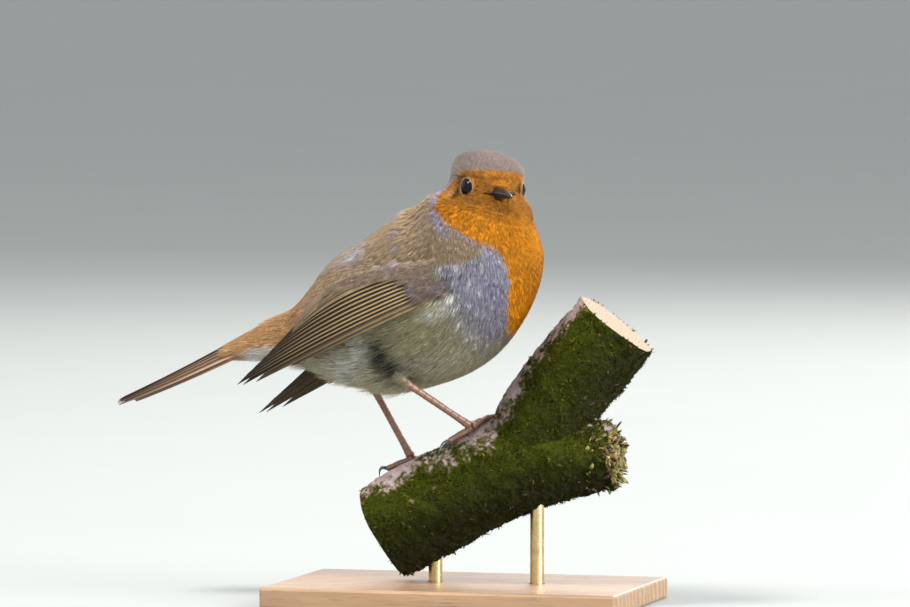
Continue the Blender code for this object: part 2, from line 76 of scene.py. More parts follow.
# Swellings of the head: place forward, right and up; reach; height; on which sides
HEAD_RELIEF = (
    ((9.5, 5.5, -1.5), (4.0, 3.5, 4.0), -0.9, (1.0, -1.0)),
    ((11.0, 0.0, -7.5), (5.0, 6.0, 2.6), -0.8, (1.0,)),
    ((3.8, 9.2, -0.6), (3.6, 4.0, 3.6), -1.1, (1.0, -1.0)),
    ((6.0, 11.0, -1.5), (6.0, 5.0, 5.5), -1.5, (1.0,)),
    ((2.0, 9.5, -6.0), (5.0, 5.0, 3.0), 0.7, (1.0, -1.0)),
    ((5.0, 7.5, 4.4), (5.0, 4.0, 2.4), 0.25, (1.0, -1.0)))
EYE_PLACE = (3.6, 5.75, -0.7)
EYE_RADIUS = 3.75
BILL_ROOT = 8.6
BILL_TIP = 20.8
BILL_HALF_WIDTH = 2.6
BILL_UPPER_HEIGHT = 2.3
BILL_LOWER_HEIGHT = 1.7
BILL_DROP = 2.0
# Wrist, tip and side of each wing, and its outline by shares of its length
WINGS = {"right": ((8.0, 22.0, 97.5), (-66.0, 6.5, 62.5), -1.0),
         "left": ((8.0, 22.0, 96.5), (-63.5, 6.5, 53.5), 1.0)}
WING_UPPER_EDGE = ((0.0, 1.0), (0.1, 6.0), (0.25, 10.0), (0.42, 12.0), (0.58, 10.8),
                   (0.69, 8.0), (0.79, 4.3), (0.89, 2.2), (1.0, 0.5))
WING_LOWER_EDGE = ((0.0, 1.0), (0.1, 4.9), (0.25, 4.2), (0.45, 3.9), (0.62, 3.2),
                   (0.8, 2.2), (0.9, 1.4), (1.0, 0.4))
WING_OUT = ((0.0, 21.5), (0.15, 25.0), (0.3, 26.8), (0.45, 26.0), (0.6, 22.0),
            (0.75, 16.2), (0.9, 10.4), (1.0, 6.8))
WING_BEND_RADIUS = 25.0
TAIL_ROOT = np.array((-67.9, 0.0, 73.8))
TAIL_TIP = np.array((-103.0, 0.0, 55.7))
TAIL_ROOT_DROOP = 4.1
TAIL_TIP_DROOP = 0.7
TAIL_SAG = 0.4
ANKLES = {"right": (-15.2, -15.0, 64.9), "left": (-30.8, 10.0, 62.0)}
FEET = {"right": (3.0, -3.5), "left": (-16.5, 3.0)}
# Toes: heading, length, length of claw, turn of claw (angles in degrees)
TOES = {"right": (("hallux", -158.0, 7.5, 6.0, 38.0), ("inner", 104.0, 10.0, 4.2, 0.0),
                  ("middle", 79.0, 13.5, 4.8, 0.0), ("outer", 54.0, 10.5, 4.2, 0.0)),
        "left": (("hallux", -160.0, 8.0, 5.6, 45.0), ("inner", 54.0, 10.0, 4.2, 0.0),
                 ("middle", 79.0, 13.5, 4.8, 0.0), ("outer", 104.0, 10.5, 4.2, 0.0))}
CLAW_ARCH = 0.24
TARSUS_RADIUS = 1.05
TOE_RADIUS = 0.95
CLAW_RADIUS = 0.6
GAP = 0.35
# Middle lines of both limbs: x, y, z, radius
LIMB_LINE = ((-23.7, 1.0, 20.2, 14.2), (-11.2, 1.0, 26.9, 14.3), (0.9, 1.0, 32.9, 14.0),
             (13.0, 1.0, 38.6, 14.2), (28.1, 1.0, 42.0, 12.6), (43.5, 1.0, 43.0, 9.4))
RISE_LINE = ((17.0, 1.0, 40.5, 12.4), (24.5, 1.5, 54.5, 13.0), (31.1, 2.0, 64.9, 13.0),
             (37.6, 2.5, 72.9, 12.8), (43.5, 3.0, 80.3, 12.6))
BARK_SWELL = 0.045
LIMB_TWIST = 0.4
RISE_TWIST = 2.0

# ---------------------------------------------------------------- sizes of the dress (mm)

HANDS = {"right": 1.0, "left": -1.0}
NUDGE = 1e-3  # step for slopes, in steps, radians or millimetres
NECK_STEP = 11.0  # the last section; past it the crown closes
CROWN_STEP = 11.985  # the skin's last ring, just short of the crown's pole
WALK_END = 11.98  # where a walk over the crown ends
NORMAL_END = 11.96  # the last step whose slopes are taken for the skin
WING_SPAN = 82.0  # a folded wing's length, for the coat beside it
QUILL_SPAN = 81.86  # the wing's length that the table of quills is given for
EYE_HOLE_DROP = 0.35  # the hole in the coat stands so far below the eye's middle
EYE_HOLE_RADIUS = 3.05
EYE_ASIDE = 2.95  # tufts that point past the eye further out keep their length
EYE_CLEAR = 2.8  # the others end at this ring
SOCKET_RADIUS = 2.75
ANKLE_CLEAR = 1.6
THIGH_SWELL = 2.2
THIGH_REACH = 4.0
TUFT_GAP = 0.115  # least spacing of tufts, and what a millimetre of length adds to it
TUFT_GAP_RATE = 0.205
FLOOR_RADIUS = 40e3

# ---------------------------------------------------------------- what a user may change


def paint(name, description, colour):
    """A colour that a user may change."""
    return FloatVectorProperty(name=name, description=description, default=colour,
                               subtype="COLOR", min=0, max=1)


class RobinPlumage(bpy.types.PropertyGroup):
    """Colours and lengths of the plumage."""
    back: paint("Back", "Olive brown of the mantle and wings", (0.515, 0.372, 0.235))
    crown: paint("Crown", "Greyer brown of crown and nape", (0.243, 0.189, 0.170))
    rump: paint("Rump", "Rufous brown over the tail", (0.57, 0.325, 0.145))
    orange: paint("Bib", "Orange of face, throat and breast", (0.95, 0.37, 0.010))
    # The ear-covert colour also paints shade over the face, the throat and under the bill.
    ear: paint("Ear coverts", "Browner orange behind the eye", (0.33, 0.135, 0.022))
    # The blue grey also paints a sheen spot on the mantle.
    blue: paint("Blue grey", "Border of the orange bib", (0.36, 0.335, 0.46))
    flank: paint("Flank", "Buff olive of the flanks", (0.43, 0.385, 0.22))
    belly: paint("Belly", "Pale grey buff of the belly", (0.52, 0.485, 0.335))
    # The white also paints a sheen spot on the mantle.
    white: paint("White down", "White tufts at thigh and vent", (0.84, 0.83, 0.81))
    dark: paint("Dark down", "Slate bases that show at the thigh", (0.035, 0.034, 0.033))
    fullness: FloatProperty(name="Fullness", description="Length of the tufts against their own",
                            default=1.0, min=0.6, max=1.4, subtype="FACTOR")


class RobinVanes(bpy.types.PropertyGroup):
    """Colours of the long feathers."""
    covert: paint("Coverts", "Brown of coverts and tertials", (0.23, 0.160, 0.100))
    centre: paint("Quill centres", "Dark middle of the quills", (0.018, 0.013, 0.010))
    edge: paint("Quill edges", "Golden buff edges", (0.27, 0.185, 0.085))
    tail: paint("Tail", "Brown of the tail", (0.175, 0.105, 0.062))
    thickness: FloatProperty(name="Vane thickness", description="Thickness of a quill's vane",
                             default=0.0001, min=0.00005, max=0.0004, unit="LENGTH")


class RobinBare(bpy.types.PropertyGroup):
    """Colours of bill, eyes, legs and claws."""
    horn: paint("Bill", "Dark horn of the bill", (0.010, 0.009, 0.009))
    gape: paint("Gape", "Paler corner of the bill", (0.030, 0.018, 0.012))
    iris: paint("Iris", "Dark brown of the iris", (0.006, 0.0028, 0.002))
    lid: paint("Lid", "Buff skin of the eye ring", (0.21, 0.145, 0.08))
    leg: paint("Leg", "Pinkish brown of the scaled legs", (0.225, 0.108, 0.066))
    claw: paint("Claw", "Slate horn of the claws", (0.040, 0.042, 0.050))


class RobinPerch(bpy.types.PropertyGroup):
    """Colours and sizes of branch and stand."""
    bark: paint("Bark", "Pinkish grey brown bark", (0.54, 0.405, 0.405))
    moss: paint("Moss", "Green moss and algae", (0.026, 0.028, 0.0014))
    heartwood: paint("Cut wood", "Pale wood of the cut ends", (0.42, 0.29, 0.16))
    stand_wood: paint("Stand wood", "Oiled wood of the base", (0.36, 0.215, 0.115))
    brass: paint("Brass", "Brushed brass of the rods", (0.72, 0.52, 0.24))
    bark_relief: FloatProperty(name="Bark relief", description="Depth of the bark's furrows",
                               default=0.00045, min=0.0, max=0.001, unit="LENGTH")


class RobinStudio(bpy.types.PropertyGroup):
    """Light and camera."""
    key_power: FloatProperty(name="Key light", description="Power of the large soft light",
                             default=32.0, min=0.0, max=100.0, unit="POWER")
    fill_power: FloatProperty(name="Fill light", description="Power of the fill light",
                              default=46.0, min=0.0, max=100.0, unit="POWER")
    room: FloatProperty(name="Room light", description="Strength of the light all round",
                        default=0.95, min=0.0, max=3.0)
    floor: paint("Floor", "Pale floor", (0.285, 0.295, 0.28))
    distance: FloatProperty(name="Camera distance", description="From the bird to the camera",
                            default=2.1, min=0.5, max=10.0, unit="LENGTH")


SETTINGS = {"robin_plumage": RobinPlumage, "robin_vanes": RobinVanes, "robin_bare": RobinBare,
            "robin_perch": RobinPerch, "robin_studio": RobinStudio}

# ---------------------------------------------------------------- curves and noise


def unit(vectors):
    """Vectors over their own lengths."""
    length = np.linalg.norm(vectors, axis=-1, keepdims=True)
    return vectors / np.maximum(length, 1e-9)


def softly(value, low, high):
    """0 below low and 1 above high, with 3t^2 - 2t^3 between."""
    t = np.clip((value - low) / (high - low), 0.0, 1.0)
    return t * t * (3.0 - 2.0 * t)


def dot(first, second):
    """Dot products of rows of vectors."""
    return (first * second).sum(axis=-1)


def stack(*parts):
    """Vectors from their parts, each part spread over the shape of the others."""
    return np.stack(np.broadcast_arrays(*parts), axis=-1)


def square_to(vectors, axes):
    """Unit vectors with their part along the axes taken away."""
    return unit(vectors - (vectors * axes).sum(axis=-1, keepdims=True) * axes)


def wrapped(angle):
    """An angle brought between minus and plus half a turn."""
    return (angle + math.pi) % math.tau - math.pi


def circle(count):
    """Angles evenly round a full turn."""
    return np.linspace(0.0, math.tau, count, endpoint=False)


def spot(points, place, reach):
    """1 at a place, falling away as a bell over a reach along each axis."""
    return np.exp(-(((points - np.array(place)) / reach) ** 2).sum(axis=-1))


def along(pairs, share):
    """The value at a share, on straight lines between the pairs."""
    xs, ys = zip(*pairs)
    return np.interp(share, xs, ys)


def smooth_rows(rows, steps):
    """Rows read at fractional steps along a Catmull-Rom curve through them."""
    rows = np.asarray(rows, float)
    steps = np.clip(np.asarray(steps, float), 0.0, len(rows) - 1.0)
    first = np.minimum(steps.astype(int), len(rows) - 2)
    t = (steps - first)[..., None]
    before = rows[np.maximum(first - 1, 0)]
    start = rows[first]
    end = rows[first + 1]
    after = rows[np.minimum(first + 2, len(rows) - 1)]
    return start + 0.5 * t * (end - before + t * (2 * before - 5 * start + 4 * end - after
                              + t * (3 * (start - end) + after - before)))


def cloud(points, size, seed):
    """Smooth noise from -1 to 1: random values on a cubic lattice, blended between corners."""
    place = np.asarray(points, float) / size
    cell = np.floor(place).astype(np.int64)
    part = place - cell
    part = part * part * (3.0 - 2.0 * part)
    total = np.zeros(place.shape[:-1])
    for corner in np.ndindex(2, 2, 2):
        key = cell + np.array(corner)
        mixed = (key[..., 0] * 374761393 + key[..., 1] * 668265263
                 + key[..., 2] * 2147483647 + seed * 1274126177) & 0xFFFFFFFF
        mixed = ((mixed ^ (mixed >> 13)) * 1274126177) & 0xFFFFFFFF
        value = ((mixed ^ (mixed >> 16)) & 0xFFFF) / 32767.5 - 1.0
        weight = np.prod(np.where(np.array(corner) == 1, part, 1.0 - part), axis=-1)
        total += weight * value
    return total


# ---------------------------------------------------------------- body surface


def head_axes():
    """Unit vectors forward, right and up of the turned and rolled head."""
    turn = math.radians(-HEAD_TURN)
    roll = math.radians(HEAD_ROLL)
    forward = np.array((math.cos(turn), math.sin(turn), 0.0))
    level = np.array((math.sin(turn), -math.cos(turn), 0.0))
    right = math.cos(roll) * level + math.sin(roll) * np.array((0.0, 0.0, 1.0))
    return np.array((forward, right, np.cross(right, forward)))


HEAD = head_axes()


def from_head(places):
    """World millimetres of places given forward, right and up of the head's middle."""
    return HEAD_MIDDLE + np.asarray(places, float) @ HEAD


def to_head(points):
    """Places in the head's frame of points in world millimetres."""
    return (points - HEAD_MIDDLE) @ HEAD.T


def body_surface(u, a):
    """Ellipse at step u of the sections, at angle a from breast to right side; past step 11
    it closes the crown as a full half ellipsoid, and the head swells by soft bumps."""
    row = smooth_rows(SECTIONS, np.minimum(u, NECK_STEP))
    lean = np.radians(row[..., 3])
    turn = np.radians(row[..., 6])
    down = stack(np.cos(lean), 0.0, -np.sin(lean))
    right = np.array((0.0, -1.0, 0.0))
    front = np.cos(turn)[..., None] * down + np.sin(turn)[..., None] * right
    side = np.cos(turn)[..., None] * right - np.sin(turn)[..., None] * down
    spread = (row[..., 4] * np.cos(a))[..., None] * front
    spread = spread + (row[..., 5] * np.sin(a))[..., None] * side
    raised = np.sin(np.clip(u - NECK_STEP, 0.0, 1.0) * 0.5 * math.pi)
    level = np.sqrt(np.clip(1.0 - raised ** CROWN_FULLNESS, 1e-9, 1.0))
    lengthwise = (spread @ HEAD[0])[..., None] * HEAD[0]
    ring = lengthwise * (level ** (2.0 / FOREHEAD_FULLNESS))[..., None]
    ring = ring + (spread - lengthwise) * (level ** (2.0 / CROWN_FULLNESS))[..., None]
    points = row[..., :3] + np.where((u > NECK_STEP)[..., None], ring, spread)
    points[..., 2] += CROWN_RISE * raised
    local = to_head(points)
    height = np.zeros(points.shape[:-1])
    for place, reach, bump, sides in HEAD_RELIEF:
        for hand in sides:
            height += bump * spot(local, np.array(place) * (1.0, hand, 1.0), reach)
    height *= softly(u, 9.0, 9.35)
    return points + (unit(local) * height[..., None]) @ HEAD


def wing_surface(label):
    """The outer face of a folded wing at l millimetres from the wrist and w across."""
    wrist, tip, side = WINGS[label]
    wrist = np.array(wrist)
    tip = np.array(tip)
    run = (tip - wrist) * (1.0, 0.0, 1.0)
    length = np.linalg.norm(run)
    run = run / length
    rise = np.array((run[2], 0.0, -run[0]))

    def surface(l, w):
        share = l / length
        points = wrist + share[..., None] * (tip - wrist) + w[..., None] * rise
        out = along(WING_OUT, share) - w * w / (2.0 * WING_BEND_RADIUS)
        points[..., 1] = side * out
        return points
    surface.side = side
    surface.wrist = wrist
    surface.run = run
    surface.rise = rise
    surface.length = length
    return surface


def tail_surface(share, y):
    """The upper face of the tail at a share of its length and y to the left."""
    run = unit(TAIL_TIP - TAIL_ROOT)
    up = np.array((run[2], 0.0, -run[0]))
    half = 6.6 + 2.2 * np.clip(share, 0.0, 1.0) ** 0.7
    droop = TAIL_ROOT_DROOP + (TAIL_TIP_DROOP - TAIL_ROOT_DROOP) * share + 0.5 + 0.7 * share
    droop = droop * (y / half) ** 2
    sag = TAIL_SAG * np.sin(math.pi * np.clip(share, 0.0, 1.0))
    points = TAIL_ROOT + share[..., None] * (TAIL_TIP - TAIL_ROOT)
    points = points + (1.1 - droop - sag)[..., None] * up
    points[..., 1] = y
    return points


def facing(surface, u, a, hand=1.0):
    """Unit vector out of a surface, from its slopes along both parameters."""
    over_u = surface(u + NUDGE, a) - surface(u - NUDGE, a)
    over_a = surface(u, a + NUDGE) - surface(u, a - NUDGE)
    return hand * unit(np.cross(over_u, over_a))


def slopes(surface, u, a):
    """How far a surface goes for each unit of both parameters."""
    over_u = (surface(u + NUDGE, a) - surface(u - NUDGE, a)) / (2 * NUDGE)
    over_a = (surface(u, a + NUDGE) - surface(u, a - NUDGE)) / (2 * NUDGE)
    return over_u, over_a


def rates(over_u, over_a, way):
    """How fast both parameters change along a way, from the slopes and their products."""
    uu, ua, aa = dot(over_u, over_u), dot(over_u, over_a), dot(over_a, over_a)
    det = np.maximum(uu * aa - ua * ua, 1e-6)
    along_u = dot(over_u, way)
    along_a = dot(over_a, way)
    return (aa * along_u - ua * along_a) / det, (uu * along_a - ua * along_u) / det


def seat(surface, u, a, way, hand=1.0):
    """Where a tuft sits: its root, its lie, its side and outward ways, and how the surface
    curves along the lie and across it."""
    over_u, over_a = slopes(surface, u, a)
    out = hand * unit(np.cross(over_u, over_a))
    lie = square_to(way, out)
    across = np.cross(out, lie)
    made = {"root": surface(u, a), "lie": lie, "across": across, "out": out}
    reach = 0.5
    for name, vector in (("bend", lie), ("arch", across)):
        rate_u, rate_a = (np.clip(rate, -0.8, 0.8) for rate in rates(over_u, over_a, vector))
        turned = facing(surface, u + reach * rate_u, a + reach * rate_a, hand)
        made[name] = np.clip(dot(turned - out, vector) / reach, -0.12, 0.3)
    return made


def seats_at(root, lie, out, bend, arch=0.0):
    """Seats at places given outright, over ground that curves alike under all."""
    return {"root": root, "lie": lie, "out": out, "across": np.cross(out, lie),
            "bend": np.full(len(root), bend), "arch": np.full(len(root), arch)}


def eye_centre(hand, drop=0.0):
    """The middle of an eye in the head's frame, or a place so far below it."""
    return np.array(EYE_PLACE) * (1.0, hand, 1.0) - (0.0, 0.0, drop)


def eye_axis(hand):
    """The way an eye looks, in the head's frame."""
    return unit(np.array((0.30, hand * 0.95, 0.03)))


# ---------------------------------------------------------------- markings

# Lower edge of the bib and top of the blue patch: angle from the breast, step.
# Side of the bib and side of the back: step, angle.
BIB_LOWER = ((0, 6.5), (14, 6.62), (25.6, 6.86), (35.5, 7.2), (40, 7.5), (43, 7.85), (50, 7.95),
             (60, 7.88), (69, 7.82), (88, 7.76), (110, 7.58), (128, 7.6), (136, 7.9), (150, 8.6))
BIB_SIDE = ((7.3, 126), (7.6, 118), (8.0, 112), (8.5, 108), (9.0, 106), (9.5, 103), (10.0, 98),
            (10.4, 92), (10.8, 84), (11.12, 72), (11.2, 47), (11.26, 20), (11.29, -20), (12, -150))
PATCH_TOP = ((0, 7.9), (40, 7.95), (62, 7.85), (80, 7.25), (90, 6.75), (97, 6.35), (110, 5.8))
BACK_SIDE = ((0, 18), (0.7, 24), (1.5, 44), (2.2, 62), (3, 74), (4, 85), (5, 88), (6.3, 88),
             (7.0, 84), (7.8, 70), (8.2, 60))

# Share, place in the head and reach; the last spot, under the bill, is painted shade
EAR_AND_SHADE_SPOTS = ((0.85, (3.5, 12.0, -3.6), (4.2, 4.5, 3.4)), (0.45, (8.5, 6.5, 0.5), (3.0, 2.4, 2.6)),
             (0.55, (3.6, 9.2, 3.4), (4.5, 3.0, 1.6)), (0.9, (8.4, 9.6, -4.6), (1.0, 1.5, 0.8)),
             (0.5, (9.0, 0.0, -5.5), (4.0, 4.5, 2.6)))


def plumage_marks(u, a, points):
    """Shares of each colour of the plumage, from the step and angle of a place on the body.
    The bib is cut off by a lower line and a side line, and the rest follows from them.
    Some shares are painted light: shade over face and throat, and a sheen spot on the mantle."""
    angle = np.degrees(wrapped(a))
    turn = smooth_rows(SECTIONS, np.minimum(u, NECK_STEP))[..., 6]
    breast = angle + turn * (1.0 - softly(u, 7.2, 8.6))
    breast = np.abs((breast + 180.0) % 360.0 - 180.0)
    angle = np.abs(angle)
    wobble = 0.35 * cloud(points, 2.2, 3) + 0.25 * cloud(points, 0.9, 4)
    below = (u - np.interp(breast, *zip(*BIB_LOWER))) * 7.5
    beside = (np.interp(u, *zip(*BIB_SIDE)) - angle) * 0.25
    inside = np.minimum(below, np.where(u > 7.5, beside, 99.0)) + wobble
    inside = np.where(u < 7.5, np.minimum(inside, (126.0 - breast) * 0.3), inside)
    orange = softly(inside, -0.45, 0.45)
    local = to_head(points)
    mirrored = stack(local[..., 0], np.abs(local[..., 1]), local[..., 2])

    def near(step, degrees, half_steps, half_degrees):
        return np.exp(-((u - step) / half_steps) ** 2 - ((angle - degrees) / half_degrees) ** 2)

    def streaks(lengthwise, round_it, seed):
        return cloud(stack(u * lengthwise, angle * round_it, 0.0), 1.0, seed)

    ear = sum(share * spot(mirrored, place, reach) for share, place, reach in EAR_AND_SHADE_SPOTS)
    # Painted shade: from the throat up the orange darkens towards the ear-covert colour, more on
    # the face.
    ear += 0.44 * softly(u, 7.0, 7.9) + 0.38 * softly(u, 8.4, 9.4)
    orange = orange * (1.0 - 0.62 * spot(mirrored, (1.6, 11.0, -2.2), (3.0, 4.5, 2.4)))
    ear = np.clip(ear + 0.35 * ear * cloud(points, 1.2, 5), 0.0, 1.0) * orange
    neck = softly(angle, 78.0, 104.0) * softly(u, 6.5, 7.2) * softly(NECK_STEP - u, 0.0, 0.9)
    band = softly(inside, -5.2 - 2.0 * neck, -1.0) * neck
    band = np.maximum(band, 0.55 * softly(inside, -1.9, -0.5) * softly(NECK_STEP - u, 0.0, 0.5))
    top = np.interp(breast, *zip(*PATCH_TOP)) + 0.12 * wobble
    patch = softly(top - u, -0.12, 0.12) * softly(u, 5.7, 6.5) * softly(112.0 - breast, 0.0, 22.0)
    patch *= softly(breast, 8.0, 26.0) * (0.86 + 0.14 * cloud(points, 3.0, 6))
    lines = softly(streaks(1.6, 0.42, 9) + 0.35 * cloud(points, 0.8, 10), 0.46, 0.85)
    mantle = softly(angle, 104.0, 122.0) * softly(u, 2.0, 3.2) * softly(8.4 - u, 0.0, 1.2)
    blue = np.maximum(np.maximum(band, patch), 0.6 * lines * mantle)
    # Painted sheen: a pale blue grey spot on the mantle.
    blue = np.maximum(blue, 0.75 * near(3.75, 148.0, 0.35, 12.0))
    blue = np.clip(blue, 0.0, 1.0) * (1.0 - orange)
    under = softly(np.interp(u, *zip(*BACK_SIDE)) - angle, -7.0, 7.0)
    under = np.maximum(under, softly(112.0 - breast, 0.0, 20.0) * softly(u, 3.4, 4.6))
    under = under * softly(top - u, -0.15, 0.1)
    flank = under * softly(angle, 26.0, 82.0) * softly(u, 1.2, 2.4)
    flank = np.clip(flank * (1.0 + 0.25 * cloud(points * (0.35, 1.0, 1.0), 1.4, 7)), 0.0, 1.0)
    rump = softly(3.4 - u, 0.0, 1.6) * (1.0 - under)
    crown = softly(u, 7.6, 9.2) * (1.0 - orange)
    dark = 0.95 * near(4.13, 56.0, 0.26, 17.0) + 0.55 * near(4.35, 38.0, 0.3, 14.0)
    flecks = softly(streaks(1.6, 0.5, 13), 0.4, 0.8)
    white = 0.95 * near(3.72, 66.0, 0.2, 11.0) + 0.8 * near(3.2, 48.0, 0.35, 14.0)
    white += 0.45 * flecks * patch
    vent = softly(1.8 - u, 0.0, 0.6) * softly(82.0 - angle, 0.0, 10.0) * softly(u, 0.2, 0.5)
    # White at the vent, a painted sheen spot on the mantle and a small white spot on the breast
    # side.
    white += 0.95 * vent + 0.5 * (near(3.75, 150.0, 0.3, 9.0) + near(5.6, 75.0, 0.35, 5.0))
    hairs = softly(streaks(1.3, 0.62, 14), 0.35, 0.8)
    white += 0.5 * hairs * (near(3.1, 130.0, 0.9, 20.0) + under * softly(angle, 20.0, 40.0))
    dusk = softly(streaks(1.1, 0.5, 15), 0.3, 0.8)
    dark += 0.30 * dusk * softly(angle, 30.0, 50.0) * softly(u, 2.0, 3.0)
    ragged = 1.0 + 0.7 * cloud(points, 1.0, 8)
    dark = np.clip(dark * ragged, 0.0, 1.0) * under
    shoulder = softly(134.0 - angle, 0.0, 28.0) * softly(u, 4.4, 5.6) * softly(8.6 - u, 0.0, 0.8)
    dark += 0.3 * shoulder * (1.0 - under) * (1.0 - orange) * (1.0 - blue)
    white = np.clip(white * ragged, 0.0, 1.0) * (1.0 - dark) * (1.0 - orange)
    return {"marks_warm": stack(orange, ear, rump),
            "marks_cool": stack(blue, under, flank),
            "marks_tone": stack(crown, white, dark)}


# ---------------------------------------------------------------- meshes


def closed_grid(rows, columns):
    """Corner numbers of the faces of a grid of points that is closed round its columns:
    the four-sided faces between the rows, and a cap on each end."""
    r = np.arange(rows - 1)[:, None]
    c = np.arange(columns)[None, :]
    d = (c + 1) % columns
    corners = (r * columns + c, r * columns + d, (r + 1) * columns + d, (r + 1) * columns + c)
    quads = stack(*corners).reshape(-1, 4)
    ring = np.arange(columns)
    return [quads, np.stack((ring[::-1], (rows - 1) * columns + ring))]


def make_piece(name, points, faces, material, attributes=None, maps=None, material_of=None):
    """A mesh object from points in millimetres and arrays of faces, put straight into
    the mesh; attributes are colours per point and maps are UVs per point."""
    mesh = bpy.data.meshes.new(name)
    points = np.asarray(points, float).reshape(-1, 3)
    mesh.vertices.add(len(points))
    mesh.vertices.foreach_set("co", (points * MM).astype(np.float32).ravel())
    loops = np.concatenate([np.asarray(part).ravel() for part in faces])
    totals = np.concatenate([np.full(len(part), np.asarray(part).shape[1]) for part in faces])
    starts = np.concatenate(([0], np.cumsum(totals)[:-1]))
    mesh.loops.add(len(loops))
    mesh.loops.foreach_set("vertex_index", loops.astype(np.int32))
    mesh.polygons.add(len(totals))
    mesh.polygons.foreach_set("loop_start", starts.astype(np.int32))
    mesh.polygons.foreach_set("loop_total", totals.astype(np.int32))
    mesh.update(calc_edges=True)
    for label, values in (attributes or {}).items():
        layer = mesh.attributes.new(label, "FLOAT_COLOR", "POINT")
        values = np.asarray(values, float).reshape(len(points), -1)
        colours = np.ones((len(points), 4), np.float32)
        colours[:, :values.shape[1]] = values
        layer.data.foreach_set("color", colours.ravel())
    for label, values in (maps or {}).items():
        layer = mesh.uv_layers.new(name=label)
        values = np.asarray(values, np.float32).reshape(len(points), 2)
        layer.data.foreach_set("uv", values[loops].ravel())
    materials = material if isinstance(material, (list, tuple)) else [material]
    for finish in materials:
        mesh.materials.append(finish)
    if material_of is not None:
        mesh.polygons.foreach_set("material_index", np.asarray(material_of, np.int32))
    mesh.shade_smooth()
    mesh.validate()
    item = bpy.data.objects.new(name, mesh)
    bpy.context.scene.collection.objects.link(item)
    return item


def search_tree(item):
    """A tree of an object's triangles, to cast rays at and find near places in."""
    mesh = item.data
    mesh.calc_loop_triangles()
    places = np.empty(3 * len(mesh.vertices), np.float32)
    corners = np.empty(3 * len(mesh.loop_triangles), np.int32)
    mesh.vertices.foreach_get("co", places)
    mesh.loop_triangles.foreach_get("vertices", corners)
    return BVHTree.FromPolygons(places.reshape(-1, 3).tolist(), corners.reshape(-1, 3).tolist(),
                                all_triangles=True)


def settle(item, slot, *nodes):
    """Let a piece ride on the model and hide the solids it stands for; the finish's name given is
    not used.
    """
    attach(item, "root")
    if nodes:
        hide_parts(*nodes)
    return item


def make_solid(*parts, **more):
    """A closed piece, with its normals recalculated so that its faces point out."""
    item = make_piece(*parts, **more)
    bm = bmesh.new()
    bm.from_mesh(item.data)
    bmesh.ops.recalc_face_normals(bm, faces=bm.faces)
    bm.to_mesh(item.data)
    bm.free()
    item.data.shade_smooth()
    return item


# ---------------------------------------------------------------- materials


class Nodes:
    """Adds nodes to a tree and joins them by socket names."""

    def __init__(self, tree):
        self.tree = tree

    def put(self, socket, value):
        """A value, or a link from another socket, into a socket."""
        if isinstance(value, bpy.types.NodeSocket):
            self.tree.links.new(value, socket)
        else:
            socket.default_value = value

    def add(self, kind, values=None, **settings):
        """A node of a kind, with its settings, and values or links for its inputs."""
        node = self.tree.nodes.new(kind)
        for key, value in settings.items():
            setattr(node, key, value)
        for key, value in (values or {}).items():
            self.put(node.inputs[key], value)
        return node

    def dress(self, shader, **inputs):
        """Values or links for a shader's inputs, with a low line for each blank."""
        for label, value in inputs.items():
            self.put(shader.inputs[label.replace("_", " ")], value)

    def math(self, operation, first, second=0.0):
        """The result of a sum on one or two values."""
        return self.add("ShaderNodeMath", {0: first, 1: second}, operation=operation).outputs[0]

    def plus(self, first, second):
        """Two values added."""
        return self.math("ADD", first, second)

    def times(self, first, second):
        """Two values multiplied."""
        return self.math("MULTIPLY", first, second)

    def mix(self, factor, first, second, blend="MIX"):
        """One colour laid over another by a factor."""
        node = self.add("ShaderNodeMix", data_type="RGBA", blend_type=blend)
        for key, value in (("Factor_Float", factor), ("A_Color", first), ("B_Color", second)):
            self.put(next(s for s in node.inputs if s.identifier == key), value)
        return next(s for s in node.outputs if s.identifier == "Result_Color")

    def mottled(self, value, low, high, colour, dark, light):
        """A colour from one gain to another as a value goes through a range."""
        return self.mix(self.scale_range(value, low, high), rgba(colour, dark),
                        rgba(colour, light))

    def shaded(self, colour, value):
        """A colour times a value."""
        grey = self.add("ShaderNodeCombineColor", {0: value, 1: value, 2: value}).outputs[0]
        return self.mix(1.0, colour, grey, "MULTIPLY")

    def place(self):
        """Object coordinates."""
        return self.add("ShaderNodeTexCoord").outputs["Object"]

    def chart(self, name):
        """A UV map of the piece: the whole, its first and its second coordinate."""
        whole = self.add("ShaderNodeUVMap", uv_map=name).outputs[0]
        parts = self.add("ShaderNodeSeparateXYZ", {0: whole}).outputs
        return whole, parts[0], parts[1]

    def drawn_out(self, vector, scale):
        """Coordinates scaled by a gain for each axis."""
        return self.add("ShaderNodeMapping", {"Vector": vector, "Scale": scale}).outputs[0]

    def bump(self, height, distance, strength):
        """A normal from a height, at a distance in metres."""
        return self.add("ShaderNodeBump", {"Height": height, "Distance": distance,
                                           "Strength": strength}).outputs[0]

    def scale_range(self, value, low, high, to_low=0.0, to_high=1.0):
        """A value carried from one range to another and held inside it."""
        return self.add("ShaderNodeMapRange", {"Value": value, "From Min": low, "From Max": high,
                                               "To Min": to_low, "To Max": to_high}).outputs[0]

    def noise(self, vector, scale, detail=3.0, roughness=0.55):
        """Noise at so many swells a metre."""
        node = self.add("ShaderNodeTexNoise", {"Vector": vector, "Scale": scale, "Detail": detail,
                                               "Roughness": roughness})
        return node.outputs["Fac"]

    def attribute(self, name):
        """The three parts of a colour attribute."""
        source = self.add("ShaderNodeAttribute", attribute_name=name)
        parts = self.add("ShaderNodeSeparateColor", {0: source.outputs["Color"]})
        return parts.outputs[0], parts.outputs[1], parts.outputs[2]


